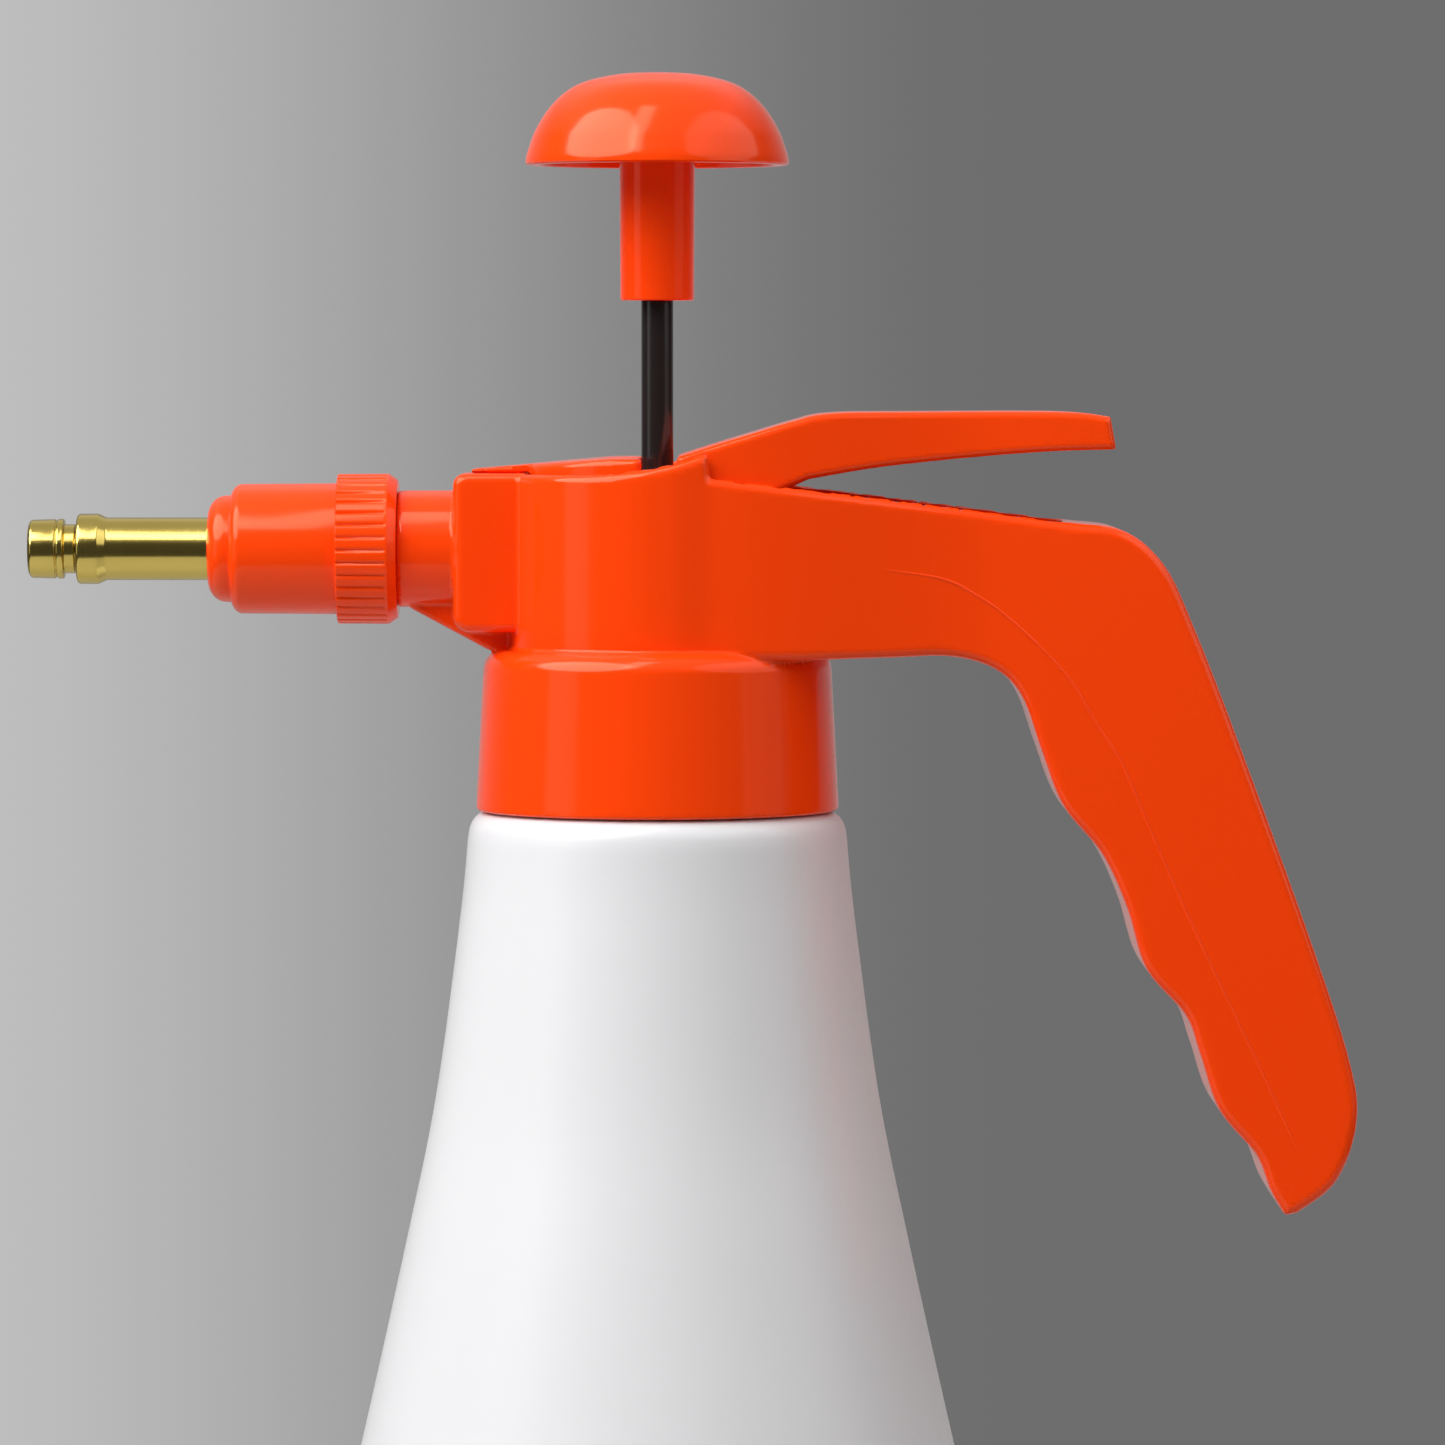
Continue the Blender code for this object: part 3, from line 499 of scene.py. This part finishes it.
def make_materials():
    return {
        "orange_plastic": plastic("orange_gloss", (1.0, 0.060, 0.003), (0.98, 0.055, 0.002), 0.13,
                                  bump=0.008, gloss=(1.0, 0.64, 0.44)),
        "bottle_plastic": plastic("bottle_satin", (0.76, 0.76, 0.775), (0.74, 0.74, 0.755), 0.24,
                                  grain=500.0, bump=0.02, subsurface=0.25),
        "natural_plastic": plastic("natural", (0.70, 0.70, 0.67), (0.62, 0.62, 0.58), 0.38),
        "black_plastic": plastic("black_moulded", (0.020, 0.020, 0.021), (0.014, 0.014, 0.014), 0.40,
                                 bump=0.08),
        "rod_plastic": plastic("rod_gloss", (0.010, 0.009, 0.009), (0.016, 0.013, 0.012), 0.16, bump=0.01),
        "black_rubber": plastic("rubber", (0.028, 0.028, 0.028), (0.018, 0.018, 0.018), 0.72, bump=0.15),
        "brass": turned_metal("turned_brass", (0.66, 0.51, 0.14), (0.60, 0.45, 0.11), 0.15, 0),
        "steel": turned_metal("turned_steel", (0.62, 0.62, 0.64), (0.50, 0.50, 0.52), 0.28, 0),
    }


# ---------------------------------------------------------------- the head
def arm_half_width(x):
    t = np.clip((x - CREASE_X) / (ARM_END_X - CREASE_X), 0, 1)
    return ARM_ROOT_W + (GRIP_HALF_W - ARM_ROOT_W) * t * t * (3 - 2 * t)


def plan_outline():
    """The head seen from above: the round boss, and the arm that narrows to the grip."""
    front = [(BOSS_R * math.cos(a), BOSS_R * math.sin(a)) for a in np.radians(np.arange(180, 84, -3))]
    side = []
    for x in np.arange(2.5, ARM_END_X, 1.0):
        boss, arm = math.sqrt(max(BOSS_R ** 2 - x ** 2, 0.0)), float(arm_half_width(x))
        side.append((x, 0.5 * (boss + arm + math.hypot(boss - arm, CREASE_SOFTNESS))))
    half = front + side + [(ARM_END_X, GRIP_HALF_W), (115.0, GRIP_HALF_W)]
    return half + [(x, -y) for x, y in half[:0:-1]]


def grip_outline():
    """The boss, the arm and the pistol grip from the side, with three finger hollows."""
    boss = [(-23.8, 254.1), (-23.8, BOSS_TOP_Z)]
    rise = smooth_curve([
        (-13.0, BOSS_TOP_Z), (-8.8, 282.7), (-2.1, 283.4), (3.0, 284.4), (CREASE_X, 285.9),
    ])
    rise += [(CREASE_X + 0.4, 285.6), (CREASE_X + 0.7, 282.1)]
    back = smooth_curve([
        (12.0, 281.6), (37.8, 278.5), (62.0, 275.3), (71.5, 273.9), (77.8, 268.6), (82.2, 259.5),
        (88.7, 243.0), (100.0, 212.2), (106.4, 192.7), (107.6, 182.9), (104.5, 173.9), (98.5, 169.0),
    ])
    fingers = smooth_curve([
        (96.6, 168.6), (94.4, 172.4), (92.1, 178.0), (86.5, 184.8), (83.5, 193.4), (81.2, 199.5),
        (75.2, 206.6), (72.2, 216.0), (68.4, 224.2), (62.4, 231.7), (59.1, 240.0), (56.1, 248.3),
        (52.0, 252.6), (45.2, 254.6), (36.0, 254.5), (22.0, 254.1),
    ])
    return boss + rise + back + fingers


def head_distance():
    """The head's solid as a function of place."""
    grip = Outline(grip_outline())
    plan = Outline(plan_outline())
    block_outline = Outline(filleted([
        (-31.4, 258.1, 2.6), (-17.0, 258.1), (-17.0, 282.6), (-31.4, 282.6, 1.9),
    ]))
    web_outline = Outline([(-38.2, 261.7), (-26.5, 255.4), (-22.0, 253.5), (-20.0, 268.0), (-38.2, 268.0)])
    well_outline = Outline(filleted([
        (-25.0, 274.0), (25.0, 273.6, 20.0), (45.0, 271.6, 20.0), (60.0, 270.2, 3.0), (63.0, 272.0, 1.5),
        (63.0, 290.0), (-25.0, 290.0),
    ]))
    chamber = [(-53.0, 2.8), (-34.6, 2.8), (-33.5, 1.7), (-31.2, 1.7), (-30.5, 3.6), (-24.5, 3.6),
               (-24.4, 4.2), (-15.9, 4.2)]
    chamber_x, chamber_r = np.array(chamber).T

    def distance(x, y, z):
        wide = np.abs(y)
        from_axis = np.hypot(x, y)
        from_spray = np.hypot(y, z - SPRAY_Z)
        above = plan(x, y)

        cap_side = (from_axis - CAP_WIDE_R + (z - CAP_WIDE_Z) * CAP_TAPER) / math.hypot(1, CAP_TAPER)
        cap = meet(meet(cap_side, z - CAP_TOP_Z, 3.0), CAP_BOTTOM_Z - z, 0.5)
        solid = join(cap, meet(grip(x, z), above, 1.5), 0.5)
        solid = join(solid, meet(block_outline(x, z), wide - BLOCK_HALF_W, 1.4), 0.5)
        tube = np.maximum(meet(from_spray - SPRAY_TUBE_R, SPRAY_FRONT_X - x, 0.6), x + 20.0)
        solid = join(solid, tube, 0.5)
        solid = join(solid, meet(web_outline(x, z), wide - WEB_HALF_W, 0.7), 0.4)

        solid = cut(solid, meet(well_outline(x, z), above + HEAD_WALL, 1.4), 0.6)
        slot = np.maximum(np.maximum(between(x, -21.6, -14.0), wide - SLOT_HALF_W), 258.6 - z)
        solid = cut(solid, slot, 0.5)
        bore = np.maximum(from_axis - CAP_BORE_R, z - CEILING_Z)
        barrel = np.maximum(from_axis - BARREL_BORE_R, z - 270.9)
        stem = np.maximum(from_axis - STEM_BORE_R, z - 276.0)
        solid = cut(solid, np.minimum(bore, np.minimum(barrel, stem)), 0.4)
        valve = np.maximum(from_spray - np.interp(x, chamber_x, chamber_r), x + 15.9)
        pin = np.maximum(np.hypot(x - PIVOT[0], z - PIVOT[1]) - 1.8, -8.3 - y)
        dip = np.maximum(np.hypot(x - DIP_X, y) - DIP_BORE_R, z - 257.4)
        passage = np.maximum(np.hypot(y, z - PASSAGE_Z) - 1.0, between(x, RISER_X - 0.4, DIP_X))
        riser = np.maximum(np.hypot(x - RISER_X, y) - 0.9, between(z, PASSAGE_Z, 268.8))
        holes = np.minimum(np.minimum(valve, pin), np.minimum(dip, np.minimum(passage, riser)))
        return cut(solid, holes, 0.3)

    return distance


def helix_ridge(name, root_r, crest_r, start_z, root_w=2.0, crest_w=1.0):
    """A rounded thread ridge up a right-hand helix, which fades out at both ends."""
    steps = round(THREAD_TURNS * 120)
    angles = [2 * math.pi * THREAD_TURNS * i / steps for i in range(steps + 1)]
    rise = THREAD_PITCH / (2 * math.pi)
    path = [(root_r * math.cos(a), root_r * math.sin(a), start_z + rise * a) for a in angles]
    outward = [(math.cos(a), math.sin(a), 0.0) for a in angles]
    upward = [(0.0, 0.0, 1.0)] * len(angles)
    tall = crest_r - root_r
    fade = [min(1.0, (min(i, steps - i) + 0.5) / 14) for i in range(steps + 1)]
    flat = [(-root_w / 2, 0.0), (-crest_w / 2, 0.86 * tall), (-crest_w / 3, tall),
            (crest_w / 3, tall), (crest_w / 2, 0.86 * tall), (root_w / 2, 0.0)]
    return swept_mesh(name, path, upward, outward, flat, fade)


def spigot_relief(angle, radius, along):
    """A fine rounded thread on the spigot's outer wall."""
    wave = np.cos(2 * math.pi * along / SPIGOT_PITCH + angle)
    start = np.clip((along - SPIGOT_FRONT_X - 0.8) / 1.2, 0, 1)
    end = np.clip((SPRAY_FRONT_X - 0.9 - along) / 0.8, 0, 1)
    return np.where(radius > SPIGOT_R - 0.5, 0.22 * wave * start * end - 0.08, 0.0)


def make_head(materials):
    orange = materials["orange_plastic"]
    low, high = (-41.5, -29.0, 167.0), (109.0, 29.0, 286.0)
    mesh = moulded_mesh("head_housing_shell", head_distance(), low, high, HEAD_GRID)
    place("head_shell", mesh, orange, "head", "orange_plastic", "head_housing")

    front, root_r = SPIGOT_FRONT_X, SPIGOT_R - 0.1
    wall = [(SPIGOT_BORE_R, front, 0.3), (root_r, front, 0.6)]
    wall += [(root_r, front + 1.0 + 0.22 * i) for i in range(48)]
    wall += [(root_r, SPRAY_FRONT_X + 1.2), (SPIGOT_BORE_R, SPRAY_FRONT_X + 1.2)]
    spigot = turned_mesh("spray_spigot_mesh", filleted(wall), "X", (0, 0, SPRAY_Z), 96, spigot_relief)
    place("spray_spigot", spigot, orange, "head", "orange_plastic", "head_housing")

    ridge = helix_ridge("cap_thread_mesh", CAP_BORE_R + 0.4, CAP_THREAD_R, NECK_THREAD_Z - THREAD_PITCH / 2)
    place("cap_thread", ridge, orange, "head", "orange_plastic", "head_housing")
    make_grip_lines(orange)


def make_grip_lines(orange):
    """The fine raised line down each side of the grip."""
    seam = smooth_curve([
        (34.0, 268.0), (43.5, 266.6), (49.0, 264.0), (54.8, 259.8), (62.6, 252.0), (67.6, 244.0),
        (71.5, 237.8), (76.7, 225.7), (82.7, 212.2), (90.2, 196.5), (95.5, 185.2), (98.7, 178.4),
    ], 6)
    runs = np.gradient(np.array(seam), axis=0)
    runs /= np.linalg.norm(runs, axis=1)[:, None]
    for side, label in ((-1, "near"), (1, "far")):
        path = [(x, side * float(arm_half_width(x)), z) for x, z in seam]
        across = [(-t[1], 0.0, t[0]) for t in runs]
        outward = [(0.0, float(side), 0.0)] * len(seam)
        count = len(seam) - 1
        fade = [min(1.0, (min(i, count - i) + 0.2) / 8) for i in range(count + 1)]
        crest = [(GRIP_LINE_HALF_W * math.cos(a), GRIP_LINE_TALL * math.sin(a))
                 for a in np.linspace(0, math.pi, 7)]
        section = [(-GRIP_LINE_HALF_W, -0.2), *crest[::-1], (GRIP_LINE_HALF_W, -0.2)]
        line = swept_mesh(f"grip_line_{label}_mesh", path, across, outward, section, fade)
        place(f"grip_line_{label}", line, orange, "head", "orange_plastic", "head_housing")


# ---------------------------------------------------------------- the lever
def lever_distance():
    """The thumb lever's solid as a function of place."""
    top = smooth_curve([
        (3.2, 285.2), (9.0, 287.1), (14.9, 288.9), (20.9, 290.7), (26.6, 291.9), (40.0, 292.1),
        (62.0, 292.1), (69.6, 291.3),
    ])
    under = smooth_curve([(70.5, 286.3), (60.4, 286.0), (48.4, 285.1), (34.1, 283.6), (23.2, 281.8)])
    saddle = [(-19.6, 280.0), (-19.6, 284.0), (-7.0, 285.0), (-2.3, 285.0), (-2.3, 282.8), (3.2, 282.8)]
    body_outline = Outline(top + under + [(18.0, 279.4), (8.0, 278.8)] + saddle)
    nose_outline = Outline([(-28.6, 282.65), (-28.6, 283.2), (-19.6, 284.0), (-7.0, 285.0), (-7.0, 282.65)])
    hub = [(PIVOT[0] + 2.7 * math.cos(a), PIVOT[1] + 2.7 * math.sin(a))
           for a in np.radians(np.arange(200, 341, 10))]
    arm_outline = Outline(hub + [(-17.7, 268.0), (-17.7, 276.0), (-13.5, 282.0), (-19.4, 282.0),
                                 (-20.9, 280.0), (-20.9, 268.0)])
    roof = smooth_curve([(16.0, 286.6), (26.6, 289.4), (40.0, 289.7), (66.0, 289.6)])
    hollow_outline = Outline(filleted([*roof[:-1], (66.0, 289.6, 1.0), (67.6, 283.0), (16.0, 276.0)]))
    plan = Outline(plan_outline())

    def distance(x, y, z):
        wide = np.abs(y)
        above = plan(x, y)
        body = meet(body_outline(x, z), above + LEVER_INSET, 1.1)
        body = join(body, meet(nose_outline(x, z), wide - NOSE_HALF_W, 0.15), 0.1)
        solid = join(body, meet(arm_outline(x, z), wide - LEVER_ARM_HALF_W, 0.5), 0.8)
        hollow = meet(hollow_outline(x, z), above + LEVER_INSET + LEVER_WALL, 0.9)
        solid = cut(solid, hollow, 0.5)
        rod_slot = np.hypot(x - np.clip(x, -1.9, 5.4), y) - ROD_SLOT_R
        solid = cut(solid, rod_slot, 0.7)
        pin = np.hypot(x - PIVOT[0], z - PIVOT[1]) - 1.85
        stem = np.maximum(np.hypot(y, z - SPRAY_Z) - 1.9, x + 15.0)
        return cut(solid, np.minimum(pin, stem), 0.3)

    return distance


def make_lever(materials):
    low, high = (-30.8, -22.0, 258.0), (72.0, 22.0, 293.5)
    mesh = moulded_mesh("trigger_lever_shell", lever_distance(), low, high, LEVER_GRID)
    place("lever_shell", mesh, materials["orange_plastic"], "lever", "orange_plastic", "trigger_lever")


# ---------------------------------------------------------------- the bottle
def make_bottle(materials):
    white = materials["bottle_plastic"]
    flare = smooth_curve([
        (29.4, 226.1), (30.6, 213.9), (34.4, 186.1), (39.2, 162.6), (46.1, 131.7),
        (53.6, 100.0), (59.6, 70.0), (BASE_R - 0.2, 42.0), (BASE_R, 12.0),
    ])
    shoulder = smooth_curve([
        (26.4, SHOULDER_Z), (27.5, 229.8), (28.5, 228.9), (29.1, 227.7), (29.4, 226.1),
    ], 5)
    outer = shoulder[:-1] + flare
    inner = [(r - BOTTLE_WALL, z) for r, z in outer if z < 226.0]
    profile = [(NECK_BORE_R, RIM_Z, 0.6), (NECK_R, RIM_Z, 0.6), (NECK_R, SHOULDER_Z, 0.8), *outer[:-1],
               (BASE_R, 0.0, 6.0), (42.0, 0.0, 1.0), (39.0, 1.6, 1.0), (21.0, 1.6, 1.0), (18.0, 0.0, 1.0),
               (0.0, 0.0), (0.0, 3.6), (42.0, 3.6), (BASE_R - BOTTLE_WALL, BOTTLE_WALL, 4.0),
               *inner[::-1], (27.0, 226.6), (NECK_BORE_R + 3.0, SHOULDER_Z - BOTTLE_WALL),
               (NECK_BORE_R, 226.4)]
    body = turned_mesh("bottle_mesh", filleted(profile), segments=192)
    place("bottle_shell", body, white, "bottle", "bottle_plastic", "bottle")
    ridge = helix_ridge("neck_thread_mesh", NECK_R - 0.3, NECK_THREAD_R, NECK_THREAD_Z)
    place("neck_thread", ridge, white, "bottle", "bottle_plastic", "bottle")


# ---------------------------------------------------------------- the nozzle
def knurl_relief(angle, radius, along):
    """Flat ridges round the cap nut's ring, with narrow grooves that stop short of its rear rim."""
    phase = (angle * KNURL_COUNT / (2 * math.pi)) % 1.0
    groove = np.clip(1 - np.minimum(phase, 1 - phase) / 0.19, 0, 1)
    return np.where((radius > 11.3) & (along < NUT_RIM_X), -KNURL_DEPTH * groove, 0.0)


def quarter_oval(centre_r, centre_x, tall, deep, steps=9):
    """The rounded front corner of a turned nose, from its side to its face."""
    turns = np.linspace(0, math.pi / 2, steps)
    return [(centre_r + tall * math.cos(t), centre_x - deep * math.sin(t)) for t in turns]


def make_nozzle(materials):
    centre = (0, 0, SPRAY_Z)
    nut = [
        (NUT_BORE_R, NUT_REAR_X, 0.2), (10.7, NUT_REAR_X, 0.3), (11.62, NUT_RIM_X + 0.35, 0.3),
        (11.65, NUT_RIM_X + 0.1), (11.65, NUT_RIM_X - 0.25), (11.6, -49.35), (11.4, -49.5), (10.15, -49.6),
    ]
    nut += quarter_oval(7.2, -64.3, 2.85, 1.9)[:-2]
    nut += quarter_oval(5.2, -66.8, 3.05, 2.8)
    nut += [(5.15, -57.6), (NUT_BORE_R, -57.6)]
    mesh = turned_mesh("nozzle_cap_mesh", filleted(nut), "X", centre, KNURL_COUNT * 12, knurl_relief)
    orange = materials["orange_plastic"]
    place("nozzle_nut_shell", mesh, orange, "nozzle_nut", "orange_plastic", "nozzle_cap")

    brass = materials["brass"]
    lance = [
        (LANCE_BORE_R, LANCE_REAR_X, 0.2), (FLANGE_R, LANCE_REAR_X, 0.3), (FLANGE_R, -57.2, 0.3),
        (LANCE_R, -57.2, 0.2), (LANCE_R, -85.3, 0.8), (LANCE_RING_R, -86.6, 0.5), (LANCE_RING_R, -89.9, 0.6),
        (2.6, -89.9), (2.6, -94.6, 0.2), (LANCE_BORE_R, -94.6),
    ]
    mesh = turned_mesh("brass_lance_mesh", filleted(lance), "X", centre)
    place("lance_tube", mesh, brass, "lance", "brass", "brass_lance")

    front = TIP_FRONT_X
    tip = [
        (2.95, -90.2), (3.8, -90.2, 0.15), (3.8, -91.8, 0.2), (4.63, -91.9, 0.3), (4.63, -92.8, 0.3),
        (4.35, -93.05, 0.1), (4.6, -93.3, 0.3), (4.5, front + 0.4, 0.5), (3.9, front, 0.3),
        (1.6, front, 0.2), (0.5, front + 0.7), (0.5, front + 1.1), (2.75, front + 1.1), (2.75, -95.0),
        (2.95, -94.95),
        (2.95, -94.4), (3.5, -94.4), (3.5, -93.2), (2.95, -93.2),
    ]
    mesh = turned_mesh("nozzle_tip_mesh", filleted(tip), "X", centre)
    place("tip_shell", mesh, brass, "tip", "brass", "nozzle_tip")


# ---------------------------------------------------------------- the pump
def make_pump(materials):
    dome = smooth_curve([
        (KNOB_R, 0.3), (20.3, 1.2), (19.9, 2.6), (18.9, 5.3), (16.9, 8.6), (14.2, 11.3), (10.9, 13.0),
        (5.6, 14.1), (0.0, KNOB_TOP_Z - KNOB_RIM_Z),
    ], 6)
    under = [
        (KNOB_R - 0.4, 0.0, 0.3), (KNOB_R - 2.2, 0.0, 0.5), (KNOB_R - 3.0, 1.4, 0.6),
        (STEM_R + 0.1, 1.4, 0.8),
    ]
    profile = [(r, KNOB_RIM_Z + h) for r, h in dome[::-1]]
    profile += [(r, KNOB_RIM_Z + h, fillet) for r, h, fillet in under]
    profile += [
        (STEM_R - 0.04, STEM_BOTTOM_Z, 0.35), (SOCKET_R, STEM_BOTTOM_Z, 0.2),
        (SOCKET_R, SOCKET_TOP_Z), (0.0, SOCKET_TOP_Z),
    ]
    mesh = turned_mesh("pump_knob_mesh", filleted(profile), segments=160)
    place("knob_shell", mesh, materials["orange_plastic"], "pump", "orange_plastic", "pump_knob")

    rod = [(0.0, ROD_LOW_Z), (ROD_R, ROD_LOW_Z, 0.3), (ROD_R, ROD_HIGH_Z, 0.3), (0.0, ROD_HIGH_Z)]
    mesh = turned_mesh("pump_rod_mesh", filleted(rod), segments=72)
    place("rod_shaft", mesh, materials["rod_plastic"], "pump", "rod_plastic", "pump_rod")


# ---------------------------------------------------------------- pieces kept from the CAD part
def finish_cad_nodes(materials):
    """Gives each CAD node that stays visible its material by the record's slot."""
    for entry in frame["record"]["subparts"]:
        piece = frame["nodes"][entry["node"]]
        if not piece.hide_render:
            piece.data.materials.clear()
            piece.data.materials.append(materials[entry["material_slot"]])


# ---------------------------------------------------------------- stage
def make_floor():
    """A pale round table top under the bottle."""
    profile = filleted([
        (0.0, -FLOOR_T), (FLOOR_R, -FLOOR_T), (FLOOR_R, 0.0, 2.0), (0.0, 0.0),
    ])
    pale = plastic("floor_pale", (0.50, 0.50, 0.49), (0.47, 0.47, 0.46), 0.6, grain=200.0, bump=0.05)
    mesh = turned_mesh("floor_mesh", profile, segments=160)
    mesh.materials.append(pale)
    floor = bpy.data.objects.new("floor", mesh)
    bpy.context.scene.collection.objects.link(floor)


def add_softbox(name, azimuth, elevation, distance, width, height, radiance, shape="ELLIPSE"):
    """A softbox that faces the head. Azimuth 0 is the camera's side and -90 the nozzle's side."""
    a, e = math.radians(azimuth), math.radians(elevation)
    toward = Vector((math.sin(a) * math.cos(e), -math.cos(a) * math.cos(e), math.sin(e)))
    light = bpy.data.lights.new(name, "AREA")
    light.shape = shape
    light.size = width
    light.size_y = height
    area = width * height * (math.pi / 4 if shape == "ELLIPSE" else 1.0)
    light.energy = radiance * math.pi * area
    obj = bpy.data.objects.new(name, light)
    bpy.context.scene.collection.objects.link(obj)
    obj.location = LIT_POINT + toward * distance
    obj.rotation_euler = toward.to_track_quat("Z", "Y").to_euler()
    obj.visible_camera = False


def direction_ramp(nodes, links, component, low, high, dark, bright):
    """A grey from dark to bright, as a component of the looking direction goes from low to high."""
    ramp = nodes.new("ShaderNodeMapRange")
    ramp.interpolation_type = "SMOOTHSTEP"
    for name, value in (("From Min", low), ("From Max", high), ("To Min", dark), ("To Max", bright)):
        ramp.inputs[name].default_value = value
    links.new(component, ramp.inputs["Value"])
    return ramp.outputs["Result"]


def make_world():
    """A dim front, a brighter rear and ceiling for the object, and for the camera a grey backdrop with
    painted light falloff: bright on the nozzle's side, dark on the grip's side.
    """
    world = bpy.data.worlds.new("studio")
    world.use_nodes = True
    nodes, links = world.node_tree.nodes, world.node_tree.links
    looking = nodes.new("ShaderNodeTexCoord")
    parts = nodes.new("ShaderNodeSeparateXYZ")
    links.new(looking.outputs["Generated"], parts.inputs["Vector"])
    total = nodes.new("ShaderNodeMath")
    total.operation = "ADD"
    ceiling = direction_ramp(nodes, links, parts.outputs["Z"], 0.35, 0.75, 0.07, 0.55)
    links.new(ceiling, total.inputs[0])
    rear = direction_ramp(nodes, links, parts.outputs["Y"], 0.30, 1.00, 0.0, 0.30)
    links.new(rear, total.inputs[1])
    room = nodes.new("ShaderNodeBackground")
    links.new(total.outputs["Value"], room.inputs["Color"])
    backdrop = nodes["Background"]
    # Painted light falloff on the backdrop: bright grey towards the nozzle's side, fading to dark grey
    # towards the grip's side.
    painted_backdrop_falloff = direction_ramp(nodes, links, parts.outputs["X"], -0.13, 0.04, 0.56, 0.155)
    links.new(painted_backdrop_falloff, backdrop.inputs["Color"])
    path = nodes.new("ShaderNodeLightPath")
    choose = nodes.new("ShaderNodeMixShader")
    links.new(path.outputs["Is Camera Ray"], choose.inputs["Fac"])
    links.new(room.outputs["Background"], choose.inputs[1])
    links.new(backdrop.outputs["Background"], choose.inputs[2])
    links.new(choose.outputs["Shader"], nodes["World Output"].inputs["Surface"])
    bpy.context.scene.world = world


def make_light():
    make_world()
    add_softbox("key_umbrella", -60, 40, 1.0, 1.15, 0.94, 5.3)
    add_softbox("side_panel", -64, 0, 1.2, 0.46, 0.50, 0.7, "RECTANGLE")
    add_softbox("fill_umbrella", 68, 34, 1.0, 1.35, 0.95, 1.15)
    add_softbox("fill_panel", 72, 0, 1.2, 0.70, 0.50, 0.3, "RECTANGLE")
    add_softbox("nozzle_strip", -22, 56, 0.45, 0.075, 0.34, 4.0, "RECTANGLE")


def make_camera():
    camera = bpy.data.cameras.new("camera")
    camera.sensor_width = 36.0
    camera.lens = CAMERA_LENS
    camera.clip_start = 0.05
    camera.clip_end = 20.0
    obj = bpy.data.objects.new("camera", camera)
    obj.location = CAMERA_PLACE
    obj.rotation_euler = (math.radians(90 - CAMERA_TILT), 0.0, 0.0)
    bpy.context.scene.collection.objects.link(obj)
    bpy.context.scene.camera = obj


# ---------------------------------------------------------------- the scene
looks = make_materials()
make_head(looks)
make_lever(looks)
make_bottle(looks)
make_nozzle(looks)
make_pump(looks)
finish_cad_nodes(looks)
make_floor()
make_light()
make_camera()
bpy.context.scene.view_settings.view_transform = "Standard"
